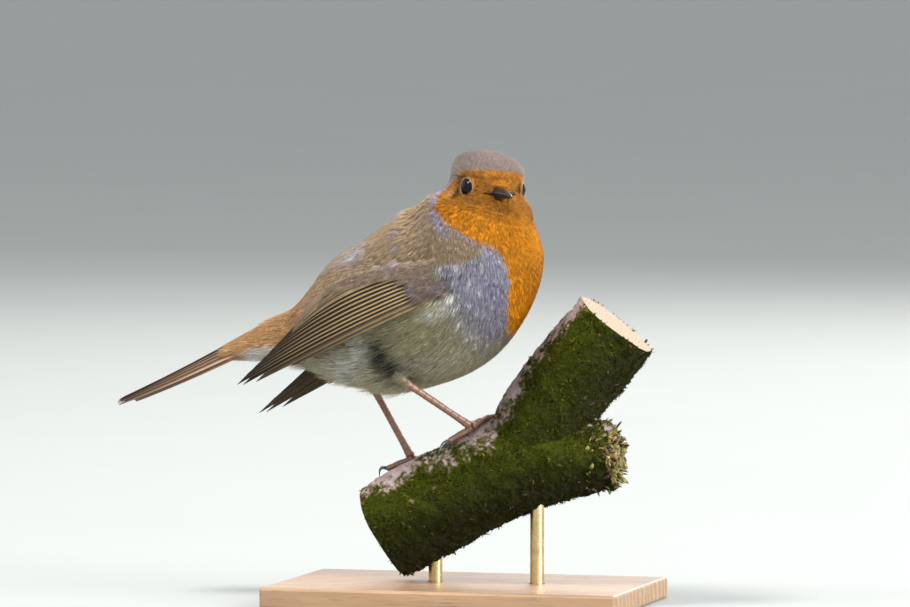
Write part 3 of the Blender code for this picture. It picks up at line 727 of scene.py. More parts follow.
def new_group(name, inputs, outputs):
    """An empty node group with named sockets, and its own input and output nodes."""
    group = bpy.data.node_groups.new(name, "ShaderNodeTree")
    kinds = {"colour": "NodeSocketColor", "value": "NodeSocketFloat"}
    for label, kind in inputs:
        group.interface.new_socket(label, in_out="INPUT", socket_type=kinds[kind])
    for label, kind in outputs:
        group.interface.new_socket(label, in_out="OUTPUT", socket_type=kinds[kind])
    nodes = Nodes(group)
    return group, nodes, nodes.add("NodeGroupInput").outputs, nodes.add("NodeGroupOutput").inputs


def new_material(name, roughness, **constants):
    """A material with its Principled shader, and its constant values set on the sockets."""
    material = bpy.data.materials.new(name)
    material.use_nodes = True
    nodes = Nodes(material.node_tree)
    shader = material.node_tree.nodes["Principled BSDF"]
    nodes.dress(shader, Roughness=roughness, **constants)
    return material, nodes, shader


def rgba(colour, gain=1.0):
    """A colour with its alpha, made lighter or darker."""
    return (*(min(1.0, c * gain) for c in colour), 1.0)


PLUMAGE_LAYERS = (("crown", "marks_tone", 0), ("rump", "marks_warm", 2),
                  ("belly", "marks_cool", 1), ("flank", "marks_cool", 2),
                  ("blue", "marks_cool", 0), ("orange", "marks_warm", 0),
                  ("ear", "marks_warm", 1), ("white", "marks_tone", 1), ("dark", "marks_tone", 2))


def plumage_group():
    """The plumage's colours, laid one over another by the marks on the mesh."""
    names = ["back"] + [name for name, _, _ in PLUMAGE_LAYERS]
    group, nodes, given, result = new_group(
        "robin_plumage_colours", [(name.title(), "colour") for name in names],
        [("Colour", "colour")])
    marks = {name: nodes.attribute(name) for name in ("marks_warm", "marks_cool", "marks_tone")}
    colour = given["Back"]
    for name, mark, part in PLUMAGE_LAYERS:
        colour = nodes.mix(marks[mark][part], colour, given[name.title()])
    nodes.put(result["Colour"], colour)
    return group


def plumage_node(nodes, group, plumage):
    """The plumage group in a material, with this bird's colours."""
    node = nodes.add("ShaderNodeGroup", node_tree=group)
    for name in ["back"] + [name for name, _, _ in PLUMAGE_LAYERS]:
        node.inputs[name.title()].default_value = rgba(getattr(plumage, name))
    return node.outputs["Colour"]


def skin_material(group, plumage):
    """Down next to the skin: the plumage's colours, darker and matt."""
    material, nodes, shader = new_material("robin_under_down", 0.95, Specular_IOR_Level=0.1)
    fluff = nodes.noise(nodes.place(), 1400.0, 4.0)
    colour = nodes.shaded(plumage_node(nodes, group, plumage),
                          nodes.scale_range(fluff, 0.3, 0.7, 0.42, 0.72))
    nodes.dress(shader, Base_Color=colour, Normal=nodes.bump(fluff, 0.0002, 0.6))
    return material


def coat_material(group, plumage):
    """Feather tufts: darker at the root, lighter at the tip, each a little of its own, and
    sleeker, with less of these, where the plumage has neither orange, blue nor pale."""
    material, nodes, shader = new_material("robin_feather_tufts", 0.8, Sheen_Weight=0.02,
                                           Sheen_Roughness=0.5, Specular_IOR_Level=0.07)
    colour = plumage_node(nodes, group, plumage)
    share, tuft, strand = nodes.attribute("lock")
    shade = nodes.scale_range(share, 0.0, 0.8, 0.60, 1.02)
    own = nodes.scale_range(tuft, 0.0, 1.0, 0.87, 1.13)
    fine = nodes.scale_range(strand, 0.0, 1.0, 0.68, 1.34)
    speckle = nodes.scale_range(nodes.noise(nodes.place(), 900.0, 3.0, 0.6), 0.3, 0.7, 0.86, 1.12)
    total = nodes.times(nodes.times(shade, own), nodes.times(fine, speckle))
    orange, blue, under = (nodes.attribute("marks_warm")[0], *nodes.attribute("marks_cool")[:2])
    other = nodes.math("MAXIMUM", nodes.math("MAXIMUM", orange, under), blue)
    sleek = nodes.scale_range(other, 0.0, 1.0, 0.55, 1.0)
    mean = 0.95
    total = nodes.plus(mean, nodes.times(nodes.math("SUBTRACT", total, mean), sleek))
    nodes.dress(shader, Base_Color=nodes.shaded(colour, total),
                Roughness=nodes.scale_range(strand, 0.0, 1.0, 0.62, 0.82))
    return material


# ---------------------------------------------------------------- tufts

# Rings of a blade: share of its length, share of its half width
LEAF = ((0.0, 0.40), (0.28, 0.88), (0.58, 1.0), (0.82, 0.66))
BARB = ((0.0, 0.9), (0.55, 0.8))
TUFT_PATCH = 0.0015  # half the size of a tuft's patch in the bake map


def blades(seats, length, width, thick, rings, lifts, fan, offset, sway):
    """Thin closed blades of three-cornered section that end in a point.  Each ring stands
    at its share of the length with its share of the half width; the middle line leaves the
    root at the first lift, ends at the second and bends with the surface below."""
    share = np.array([s for s, _ in rings for _ in range(3)] + [1.0])
    profile = np.array([p for _, p in rings for _ in range(3)] + [0.0])
    edge = np.array([-1.0, 0.0, 1.0] * len(rings) + [0.0])
    ridge = np.array([0.0, 1.0, 0.0] * len(rings) + [0.0])
    x = length[:, None] * share
    y = offset[:, None] * (1.0 - 0.4 * share) + fan[:, None] * x
    y = y + sway[:, None] * length[:, None] * share * share
    y = y + edge * profile * width[:, None] * 0.5
    low, high = lifts
    z = low[:, None] + (high - low)[:, None] * share ** 0.8 + ridge * thick[:, None] * profile
    z = z - 0.5 * seats["bend"][:, None] * x * x - 0.5 * seats["arch"][:, None] * y * y
    z = z - 0.03 * np.abs(edge * profile) * width[:, None]
    points = seats["root"][:, None] + x[..., None] * seats["lie"][:, None]
    points = points + y[..., None] * seats["across"][:, None] + z[..., None] * seats["out"][:, None]
    count = len(rings)
    quads = []
    for ring in range(count - 1):
        for k in range(3):
            j = (k + 1) % 3
            quads.append((3 * ring + k, 3 * ring + j, 3 * ring + 3 + j, 3 * ring + 3 + k))
    last = 3 * (count - 1)
    tips = [(last + k, last + (k + 1) % 3, 3 * count) for k in range(3)] + [(0, 2, 1)]
    return points, share, np.array(quads).reshape(-1, 4), np.array(tips)


def join_blades(parts):
    """Several sets of blades as one array of points and faces, with their shares."""
    points, quads, tris, locks, maps, first = [], [], [], [], [], 0
    for made, share, four, three, owner, strand, patch in parts:
        count, size = made.shape[:2]
        base = first + np.arange(count)[:, None, None] * size
        points.append(made.reshape(-1, 3))
        if len(four):
            quads.append((base + four).reshape(-1, 4))
        tris.append((base + three).reshape(-1, 3))
        lock = np.zeros((count, size, 3))
        lock[..., 0] = share
        lock[..., 1] = owner[:, None]
        lock[..., 2] = strand[:, None]
        locks.append(lock.reshape(-1, 3))
        spread = np.zeros((count, size, 2))
        spread[..., 0] = (strand[:, None] * 2.0 - 1.0) * TUFT_PATCH
        spread[..., 1] = (share * 2.0 - 1.0) * TUFT_PATCH
        maps.append((patch[:, None] + spread).reshape(-1, 2))
        first += count * size
    faces = ([np.concatenate(quads)] if quads else []) + [np.concatenate(tris)]
    return np.concatenate(points), faces, np.concatenate(locks), np.concatenate(maps)


def per_point(values, parts):
    """A row for every blade's root, repeated for every point of the blade."""
    return np.concatenate([np.repeat(values, part[0].shape[1], axis=0) for part in parts])


def tuft_parts(seats, patch, length, width, depth, rise, rng, barbs, fray, barb_width):
    """A leaf-shaped vane for every seat and several fine barbs that fan out over it."""
    count = len(length)
    owner = rng.random(count)
    low = -depth + 0.1 * rng.random(count)
    high = rise + 0.07 * (rng.random(count) - 0.5)
    zero = np.zeros(count)
    fan = 0.10 * rng.standard_normal(count)
    lift = (low, low + 0.55 * (high - low) - 0.05)
    made = blades(seats, length * 0.62, width, 0.03 + zero, LEAF, lift, fan, zero,
                  0.04 * rng.standard_normal(count))
    parts = [(*made, owner, 0.15 + zero, patch)]
    for k in range(barbs):
        place = (k + 0.5) / barbs * 2.0 - 1.0
        offset = place * width * 0.46 + 0.06 * rng.standard_normal(count)
        spread = fan + place * fray * 0.5 + 0.4 * fray * rng.standard_normal(count)
        reach = length * (1.06 - 0.22 * place * place + 0.12 * rng.standard_normal(count))
        lift = (low + 0.04, high + 0.02 + 0.03 * rng.standard_normal(count))
        made = blades(seats, reach, barb_width * (0.8 + 0.5 * rng.random(count)), 0.07 + zero,
                      BARB, lift, spread, offset, 0.10 * fray * rng.standard_normal(count))
        parts.append((*made, owner, rng.random(count), patch))
    return parts


TUFT_LENGTH_FRONT = ((0, 6.5), (1.5, 6.5), (4, 6.2), (6, 5.4), (7, 4.6), (8, 3.6), (9, 2.8),
                     (10, 2.4), (12, 2.6))
TUFT_LENGTH_BACK = ((0, 5.0), (1.5, 5.6), (4, 5.6), (6, 4.6), (7, 3.9), (8, 3.3), (9, 2.9),
                    (10.5, 2.7), (12, 2.6))


def tuft_length(u, a, points):
    """Length of the tufts: shortest at the bill, longest on belly and rump."""
    back = 0.5 - 0.5 * np.cos(a)
    length = (1.0 - back) * along(TUFT_LENGTH_FRONT, u) + back * along(TUFT_LENGTH_BACK, u)
    reach = np.linalg.norm(to_head(points) - (BILL_ROOT + 1.0, 0.0, -BILL_DROP), axis=-1)
    return np.minimum(length, 0.75 + 0.24 * reach)


def tuft_spacing(u, a, points):
    """How far apart the tufts stand, by their length."""
    return TUFT_GAP + TUFT_GAP_RATE * tuft_length(u, a, points)


def coat_depth(length):
    """How far the skin lies inside the tips of the coat."""
    return np.clip(0.30 * length, 0.42, 1.7)


def tuft_lie(u, a, points):
    """The lie of the coat: down the body towards the tail, and away from the bill on the
    head, with the mantle's sides falling over the wings."""
    tailward = unit(-(body_surface(u + NUDGE, a) - body_surface(u - NUDGE, a)))
    bill = from_head((BILL_ROOT + 1.5, 0.0, -BILL_DROP))
    away = unit(points - bill)
    head = softly(u, 7.6, 9.4)[..., None]
    lie = unit(tailward * (1.0 - head) + away * head)
    turned = wrapped(a)
    fall = softly(np.abs(turned), 1.5, 2.0) * softly(2.9 - np.abs(turned), 0.0, 0.5)
    fall = fall * softly(u, 3.0, 4.0) * softly(7.8 - u, 0.0, 0.8)
    around = unit(body_surface(u, a + NUDGE) - body_surface(u, a - NUDGE))
    around = -np.sign(turned)[..., None] * around
    return unit(lie + 0.30 * fall[..., None] * around)


def walk(u, a, way, distance):
    """Where one comes on the body's chart after so many millimetres along a way."""
    steps = 4
    for _ in range(steps):
        rate_u, rate_a = rates(*slopes(body_surface, u, a), way)
        u = np.clip(u + distance / steps * rate_u, 0.0, WALK_END)
        a = a + np.clip(distance / steps * rate_a, -0.5, 0.5)
    return u, a


def wing_place(label, points):
    """Where points fall on a folded wing: along it, across it, and on its side or not."""
    surface = wing_surface(label)
    away = points - surface.wrist * (1.0, 0.0, 1.0)
    l = dot(away, surface.run)
    w = dot(away, surface.rise)
    return l, w, points[..., 1] * surface.side > 2.0


def under_wing(points):
    """True where the folded wings lie over the body."""
    covered = np.zeros(points.shape[:-1], bool)
    for label in WINGS:
        l, w, beside = wing_place(label, points)
        share = l / WING_SPAN
        upper = along(WING_UPPER_EDGE, share)
        lower = along(WING_LOWER_EDGE, share)
        held = (l > 5.0) & (l < 62.0) & (w > 0.9 - lower) & (w < upper - 2.6)
        covered |= held & beside
    return covered


def scatter(low, high, rng):
    """Steps and angles of tufts over a stretch of the body, about evenly apart: rows stand
    where the way along the body, over the tufts' spacing, is a whole number, and on each row
    the angles stand where the area so far, over the area of one tuft, is a whole number."""
    angles = np.linspace(-math.pi, math.pi, 721)
    fine = np.linspace(low, high, 240)
    grid_u, grid_a = np.meshgrid(fine, angles[::12], indexing="ij")
    points = body_surface(grid_u, grid_a)
    gaps = np.linalg.norm(np.diff(points, axis=0), axis=-1)
    spacing = tuft_spacing(grid_u, grid_a, points)
    travel = np.concatenate(([0.0], np.cumsum(np.quantile(gaps / spacing[1:], 0.65, axis=1))))
    count = max(int(round(travel[-1])), 1)
    edges = np.interp(np.linspace(0.0, travel[-1], count + 1), travel, fine)
    steps, places = [], []
    for row in range(count):
        middle = 0.5 * (edges[row] + edges[row + 1])
        at = np.full_like(angles, middle)
        points = body_surface(at, angles)
        over = body_surface(np.full_like(angles, edges[row + 1]), angles)
        over = over - body_surface(np.full_like(angles, edges[row]), angles)
        over_a = slopes(body_surface, at, angles)[1]
        spacing = tuft_spacing(at, angles, points)
        area = np.linalg.norm(np.cross(over, over_a), axis=-1) / spacing ** 2
        total = np.concatenate(([0.0], np.cumsum(0.5 * (area[1:] + area[:-1]) * np.diff(angles))))
        wanted = np.arange((row * 0.618) % 1.0, total[-1], 1.0)
        found = np.interp(wanted, total, angles)
        share = 0.5 + 0.45 * (rng.random(len(found)) - 0.5)
        steps.append(edges[row] + (edges[row + 1] - edges[row]) * share)
        places.append(found + 0.18 * (rng.random(len(found)) - 0.5) * np.interp(
            found, angles, spacing / np.maximum(np.linalg.norm(over_a, axis=-1), 0.5)))
    return np.minimum(np.concatenate(steps), CROWN_STEP), np.concatenate(places)


def body_patch(u, a):
    """Places on an unwrap of the body: round it and along it."""
    return stack(0.02 + 0.96 * ((a / math.tau + 0.5) % 1.0), 0.02 + 0.08 * u)


def coat(name, low, high, seed, material, plumage):
    """Tufts over a stretch of the body, left out under wings, at eyes, bill and legs."""
    rng = np.random.default_rng(seed)
    u, a = scatter(low, high, rng)
    points = body_surface(u, a)
    local = to_head(points)
    keep = ~under_wing(points)
    for hand in HANDS.values():
        ray = local - eye_centre(hand, EYE_HOLE_DROP)
        axis = eye_axis(hand)
        off = np.linalg.norm(ray - (ray @ axis)[..., None] * axis, axis=-1)
        keep &= ~((off < EYE_HOLE_RADIUS) & (ray @ axis > 0.0))
    root = local - (0.0, 0.0, -BILL_DROP)
    keep &= ~((local[..., 0] > 7.0) & (np.abs(root[..., 1]) < 1.8) & (root[..., 2] < 1.6)
              & (root[..., 2] > -1.25))
    for ankle in ANKLES.values():
        keep &= np.linalg.norm(points - np.array(ankle), axis=-1) > ANKLE_CLEAR
    u, a, points, local = u[keep], a[keep], points[keep], local[keep]
    lie = tuft_lie(u, a, points)
    seats = seat(body_surface, u, a, lie)
    length = tuft_length(u, a, points) * plumage.fullness
    length = length * (0.88 + 0.24 * rng.random(len(u)))
    depth = coat_depth(length)
    for hand in HANDS.values():
        axis = eye_axis(hand) @ HEAD
        ray = from_head(eye_centre(hand, EYE_HOLE_DROP)) - points
        ray = ray - (ray @ axis)[..., None] * axis
        ahead = dot(ray, seats["lie"])
        aside = np.sqrt(np.maximum(dot(ray, ray) - ahead ** 2, 0.0))
        facing_eye = (ahead > 0) & (aside < EYE_ASIDE) & (local[..., 1] * hand > 3.0)
        room = ahead - np.sqrt(np.maximum(EYE_CLEAR ** 2 - aside ** 2, 0.0)) + 0.1
        length = np.where(facing_eye, np.clip(np.minimum(length, room), 0.45, None), length)
    angle = np.abs(wrapped(a))
    fringe = softly(1.0 - angle, 0.0, 0.7) * softly(u, 0.6, 2.0) * softly(5.0 - u, 0.0, 1.6)
    rise = 0.02 + 0.55 * fringe * rng.random(len(u))
    near_wing = np.zeros(len(u))
    for label in WINGS:
        l, w, beside = wing_place(label, points)
        upper = along(WING_UPPER_EDGE, l / WING_SPAN)
        over = softly(w - upper, -4.0, -1.0) * softly(upper + 5.0 - w, 0.0, 3.0)
        over = over * softly(l, 18.0, 26.0) * softly(60.0 - l, 0.0, 14.0)
        near_wing = np.maximum(near_wing, over * beside)
    hang = softly(1.15 - angle, 0.0, 0.45) * softly(u, 0.9, 1.9) * softly(4.9 - u, 0.0, 0.8)
    hang = hang * softly(cloud(points, 1.6, 19), -0.3, 0.5)
    length = length + 4.0 * hang * rng.random(len(u))
    ruffled = np.exp(-((u - 3.0) / 0.8) ** 2 - ((np.degrees(angle) - 130.0) / 20.0) ** 2)
    length = length + 4.0 * ruffled
    rise = rise + 0.3 * near_wing + (0.6 + 2.0 * rng.random(len(u))) * hang
    tip_u, tip_a = walk(u, a, lie, 0.7 * length)
    marks = plumage_marks(tip_u, tip_a, points + 0.7 * length[:, None] * seats["lie"])
    width = (0.30 - 0.08 * ruffled) * length + 0.35
    fray = 0.12 + 0.25 * fringe + 0.25 * hang + 0.08 * softly(3.0 - length, 0.0, 1.5)
    parts = tuft_parts(seats, body_patch(u, a), length, width, depth, rise, rng, 8, fray,
                       0.06 + 0.026 * length)
    made, faces, lock, bake = join_blades(parts)
    spread = {label: per_point(values, parts) for label, values in marks.items()}
    item = make_piece(name, made, faces, material, {"lock": lock, **spread}, {"OFBake": bake})
    return settle(item, "orange_plumage" if low > 6.9 else "back_plumage")


# ---------------------------------------------------------------- operators: skin and coat


def flesh(u, a):
    """The skin under the coat: the body's surface less the coat's depth, with a low swelling
    where each thigh comes out."""
    points = body_surface(u, a)
    out = facing(body_surface, np.clip(u, 0.0, NORMAL_END), a)
    depth = coat_depth(tuft_length(u, a, points))
    for ankle in ANKLES.values():
        away = np.linalg.norm(points - np.array(ankle), axis=-1)
        depth = depth - THIGH_SWELL * np.exp(-(away / THIGH_REACH) ** 2)
    points = points - depth[..., None] * out
    for hand in HANDS.values():
        axis = eye_axis(hand) @ HEAD
        ray = points - from_head(eye_centre(hand))
        level = ray @ axis
        off = np.linalg.norm(ray - level[..., None] * axis, axis=-1)
        cap = np.sqrt(EYE_RADIUS ** 2 - np.minimum(off, SOCKET_RADIUS) ** 2) - 0.3
        cap = cap + 1.3 * np.maximum(off - SOCKET_RADIUS, 0.0)
        points = points - np.where((off < 4.5) & (level > cap), level - cap, 0.0)[..., None] * axis
    return points


def skin_piece(material):
    """The whole skin as one grid of steps and angles, closed at the tail and the crown."""
    u = np.concatenate((np.linspace(0.0, 7.0, 84), np.linspace(7.0, NECK_STEP, 70)[1:],
                        np.linspace(NECK_STEP, CROWN_STEP, 34)[1:]))
    a = np.linspace(-math.pi, math.pi, 169)[:-1]
    steps, angles = np.meshgrid(u, a, indexing="ij")
    points = flesh(steps, angles)
    rows, columns = steps.shape
    marks = plumage_marks(steps, angles, points)
    tail = points[0].mean(axis=0) + (2.0, 0.0, 0.6)
    crown = points[-1].mean(axis=0)
    made = np.concatenate((points.reshape(-1, 3), tail[None], crown[None]))
    ring = np.arange(columns)
    ends = np.concatenate((
        stack(rows * columns, (ring + 1) % columns, ring),
        stack(rows * columns + 1, (rows - 1) * columns + ring,
              (rows - 1) * columns + (ring + 1) % columns)))
    attributes = {}
    for label, values in marks.items():
        attributes[label] = np.concatenate((values.reshape(-1, 3), values[0, :1], values[-1, :1]))
    return make_solid("robin_skin", made, [closed_grid(rows, columns)[0], ends], material,
                      attributes)


class LaySkin(bpy.types.Operator):
    """Lay one skin over trunk, neck, head and thighs"""
    bl_idname = "robin.lay_skin"
    bl_label = "Lay the skin"

    def execute(self, context):
        group = plumage_group()
        item = skin_piece(skin_material(group, context.scene.robin_plumage))
        settle(item, "back_plumage", "trunk", "neck", "head", "thigh_right", "thigh_left")
        return {"FINISHED"}


COAT_STRETCHES = (("robin_coat_rump", 0.0, 2.6), ("robin_coat_loins", 2.6, 4.2),
                  ("robin_coat_flanks", 4.2, 5.7), ("robin_coat_breast", 5.7, 7.2),
                  ("robin_coat_throat", 7.2, 8.6), ("robin_coat_face", 8.6, 10.2),
                  ("robin_coat_brow", 10.2, 11.3), ("robin_coat_crown", 11.3, 11.97))


class LayCoat(bpy.types.Operator):
    """Lay the tufts of feathers over the skin"""
    bl_idname = "robin.lay_coat"
    bl_label = "Lay the coat"

    def execute(self, context):
        plumage = context.scene.robin_plumage
        group = bpy.data.node_groups["robin_plumage_colours"]
        material = coat_material(group, plumage)
        for number, (name, low, high) in enumerate(COAT_STRETCHES):
            coat(name, low, high, 11 + number, material, plumage)
        return {"FINISHED"}


# ---------------------------------------------------------------- vanes of wing and tail

ACROSS = np.array((-1.0, -0.86, -0.5, -0.12, 0.0, 0.12, 0.5, 0.86, 1.0))
SHINGLE = 0.19  # how far a vane dips for each millimetre across it


def vanes(surface, hand, rows, root, tip, bow, outer, inner, lift, thickness, turn, point):
    """Long feathers in the chart of a surface.  Each lower edge runs from root to tip with a
    bow, the shaft stands one outer web above it, both webs narrow to the tip, and the vane
    dips across like a shingle, so that its inner web lies under the next feather; top and
    underside close at the rim."""
    s = np.linspace(0.0, 1.0, rows)
    share = s[None, :, None]
    l = root[0][:, None, None] + (tip[0] - root[0])[:, None, None] * share
    shaft = root[1][:, None, None] + (tip[1] - root[1])[:, None, None] * share
    shaft = shaft + bow[:, None, None] * 4.0 * share * (1.0 - share)
    start = softly(share, -0.04, 0.12)
    past = np.clip((share - point[:, None, None]) / (1.0 - point[:, None, None]), 0.0, 1.0)
    end = (1.0 - past ** 2) ** 0.8
    taper = start * (0.04 + 0.96 * end)
    web = np.where(ACROSS < 0, outer[:, None, None], inner[:, None, None])
    shaft = shaft + outer[:, None, None] * turn * (0.15 + 0.85 * end)
    w = shaft + turn * ACROSS * web * taper
    l = l + 0.0 * w
    base = surface(l, w)
    out = facing(surface, l, w, hand)
    ridge = 0.05 * np.exp(-(ACROSS / 0.09) ** 2) * (0.25 + 0.75 * taper)
    dip = SHINGLE * (outer[:, None, None] + ACROSS * web) * taper
    top = base + (lift[:, None, None] - dip + ridge)[..., None] * out
    under = base + (lift[:, None, None] - dip - thickness)[..., None] * out
    points = np.concatenate((top, under[:, :, ::-1]), axis=2)
    count = len(root[0])
    columns = 2 * len(ACROSS)
    t = np.concatenate((ACROSS, ACROSS[::-1])) * 0.5 + 0.5
    chart = np.broadcast_to(stack(t[None, None], share), (count, rows, columns, 2))
    size = rows * columns
    first = np.arange(count)[:, None, None] * size
    faces = [(first + part).reshape(-1, part.shape[1]) for part in closed_grid(rows, columns)]
    return points.reshape(-1, 3), faces, chart.reshape(-1, 2), size


# Tip along and across the wing, root across it, bow; tertials also outer web and root along
QUILLS = ((62.6, -3.3, -4.1, -0.3), (75.8, -2.6, -3.0, -0.1), (80.2, -1.6, -1.9, 0.5),
          (82.0, -0.8, -0.95, 0.7), (79.8, -0.2, 0.0, 0.95), (76.6, 0.5, 0.95, 1.2),
          (73.0, 1.3, 1.85, 1.5), (69.4, 2.2, 2.75, 1.8), (65.6, 3.1, 3.6, 2.1),
          (62.0, 4.0, 4.4, 2.4))
TERTIALS = ((57.5, 4.9, 5.6, 2.3, 1.9, 17.0), (52.5, 6.4, 7.0, 2.2, 1.8, 22.0),
            (46.5, 8.0, 8.0, 1.4, 1.5, 27.0))


def quill_table(label):
    """Rows of one wing's feathers from the outermost primary up: places of root and tip of
    the lower edge along and across the wing, outer and inner web, lift, tone, edge and point."""
    rows = []
    for k, (tip_l, tip_w, start, bow) in enumerate(QUILLS):
        plain = k < 2
        tone = 0.5 if label == "left" else 0.36 if plain else 0.05
        rows.append((9.0 + 0.55 * k, start, tip_l, tip_w, 1.1 if plain else 0.82, 2.0,
                     -0.16 + 0.03 * k, tone, 0.5 if plain else 1.0, 0.62, bow))
    for k, (tip_l, tip_w, start, bow, web, begin) in enumerate(TERTIALS):
        rows.append((begin, start, tip_l, tip_w, web, 2.4 - 0.6 * k, 0.20 + 0.06 * k, 0.86, 0.4,
                     0.7, bow))
    for k in range(6):
        rows.append((5.0, -2.9 + 1.0 * k, 19.6 + 0.4 * min(k, 3) - 0.2 * k, -2.3 + 1.0 * k,
                     0.85, 1.3, 0.24 + 0.02 * k, 0.50, 0.22, 0.74, -0.1))
    rows.append((1.5, -2.4, 14.0, -2.9, 0.9, 1.2, 0.34, 0.6, 0.3, 0.7, -0.1))
    rows.append((1.5, -1.4, 11.5, -1.7, 0.9, 1.2, 0.44, 0.66, 0.3, 0.7, -0.1))
    return np.array(rows).T


def feather_group():
    """Colour and height of a vane from its own chart: a dark middle, a pale outer edge, a
    shaft, and fine barbs that run slantwise from the shaft."""
    group, nodes, given, result = new_group(
        "robin_vane_pattern",
        [("Web", "colour"), ("Centre", "colour"), ("Edge", "colour"), ("Edge reach", "value"),
         ("Barbs", "value")],
        [("Colour", "colour"), ("Height", "value")])
    _, t, along_it = nodes.chart("vane_chart")
    across = nodes.math("SUBTRACT", nodes.times(t, 2.0), 1.0)
    tone, own, edge = nodes.attribute("vane")
    away = nodes.math("ABSOLUTE", across)
    slant = nodes.plus(nodes.times(along_it, given["Barbs"]), nodes.times(away, -2.6))
    wave = nodes.math("SINE", nodes.times(slant, 6.2832))
    fine = nodes.math("SINE", nodes.times(slant, 16.9))
    barbs = nodes.plus(nodes.plus(nodes.times(wave, 0.3), nodes.times(fine, 0.2)), 0.5)
    patchy = nodes.noise(nodes.place(), 420.0, 3.0)
    reach = nodes.plus(given["Edge reach"],
                       nodes.times(nodes.math("SUBTRACT", patchy, 0.5), 0.16))
    reach = nodes.plus(reach, nodes.scale_range(along_it, 0.4, 1.0, 0.0, 0.45))
    rim = nodes.scale_range(nodes.math("SUBTRACT", nodes.times(across, -1.0), reach), -0.05, 0.08)
    tip = nodes.times(nodes.scale_range(along_it, 0.955, 1.0), 0.15)
    rim = nodes.times(nodes.math("MAXIMUM", rim, tip), edge)
    colour = nodes.mix(tone, given["Centre"], given["Web"])
    shaft = nodes.scale_range(away, 0.05, 0.13, 0.55, 0.0)
    colour = nodes.mix(shaft, colour, given["Centre"])
    colour = nodes.mix(rim, colour, given["Edge"])
    light = nodes.plus(nodes.times(barbs, 0.12), 0.93)
    for value, low, high, start, end in ((patchy, 0.3, 0.7, 0.88, 1.1), (own, 0.0, 1.0, 0.88, 1.1),
                                         (along_it, 0.45, 1.0, 1.0, 0.6)):
        light = nodes.times(light, nodes.scale_range(value, low, high, start, end))
    nodes.put(result["Colour"], nodes.shaded(colour, light))
    nodes.put(result["Height"], barbs)
    return group


def vane_material(name, group, web, centre, edge, reach, barbs):
    """Satin vanes with the pattern of their own chart."""
    material, nodes, shader = new_material(name, 0.55, Sheen_Weight=0.02,
                                           Specular_IOR_Level=0.12)
    made = nodes.add("ShaderNodeGroup", {"Web": rgba(web), "Centre": rgba(centre),
                                         "Edge": rgba(edge), "Edge reach": reach,
                                         "Barbs": barbs}, node_tree=group).outputs
    nodes.dress(shader, Base_Color=made["Colour"],
                Normal=nodes.bump(made["Height"], 0.00006, 0.7))
    return material


def atlas(count, size, chart):
    """A place for every vane's chart in its own cell of the bake map."""
    side = math.ceil(math.sqrt(count))
    number = np.repeat(np.arange(count), size)
    corner = stack(number % side, number // side) / side
    return corner + (0.05 + 0.9 * chart) / side


def make_wing(label, group, settings):
    """A bed, then every feather of one wing over it from the outermost primary up."""
    surface = wing_surface(label)
    side = surface.side
    table = quill_table(label)
    rng = np.random.default_rng(5 if side > 0 else 6)
    l0, w0, l1, w1, outer, inner, lift, tone, edge, point, bow = table
    stretch = surface.length / QUILL_SPAN
    points, faces, chart, size = vanes(
        surface, side, 25, (l0, w0), (l1 * stretch, w1), bow, outer, inner, lift,
        settings.thickness / MM, 1.0, point)
    count = len(l0)
    own = stack(np.repeat(tone, size), np.repeat(rng.random(count), size), np.repeat(edge, size))
    material = vane_material("robin_wing_vanes_" + label, group, settings.covert,
                             settings.centre, settings.edge, 0.42, 90.0)
    return make_solid("robin_wing_vanes_" + label, points, faces, material, {"vane": own},
                      {"OFBake": atlas(count, size, chart), "vane_chart": chart})


def make_wing_bed(label, material):
    """The hidden quill bases under the vanes, a thin closed plate in the wing's chart."""
    surface = wing_surface(label)
    l = np.linspace(1.0, 52.0, 36)[:, None]
    share = l / surface.length
    low = -along(WING_LOWER_EDGE, share) + 0.5
    high = along(WING_UPPER_EDGE, share) - 0.9
    across = np.linspace(0.0, 1.0, 15)
    w = low + (high - low) * across
    l = l + 0.0 * w
    base = surface(l, w)
    out = facing(surface, l, w, surface.side)
    top = base - 0.95 * out
    under = base - 1.9 * out
    points = np.concatenate((top, under[:, ::-1]), axis=1)
    return make_solid("robin_wing_bed_" + label, points, closed_grid(*points.shape[:2]), material)


# Lower edge of the coverts: along the wing, across it
COVERT_LINE = ((0.0, -6.0), (20.0, -4.0), (20.5, 3.8), (24.0, 6.2), (29.0, 8.6), (35.0, 10.2),
               (44.0, 11.4), (52.0, 12.4))


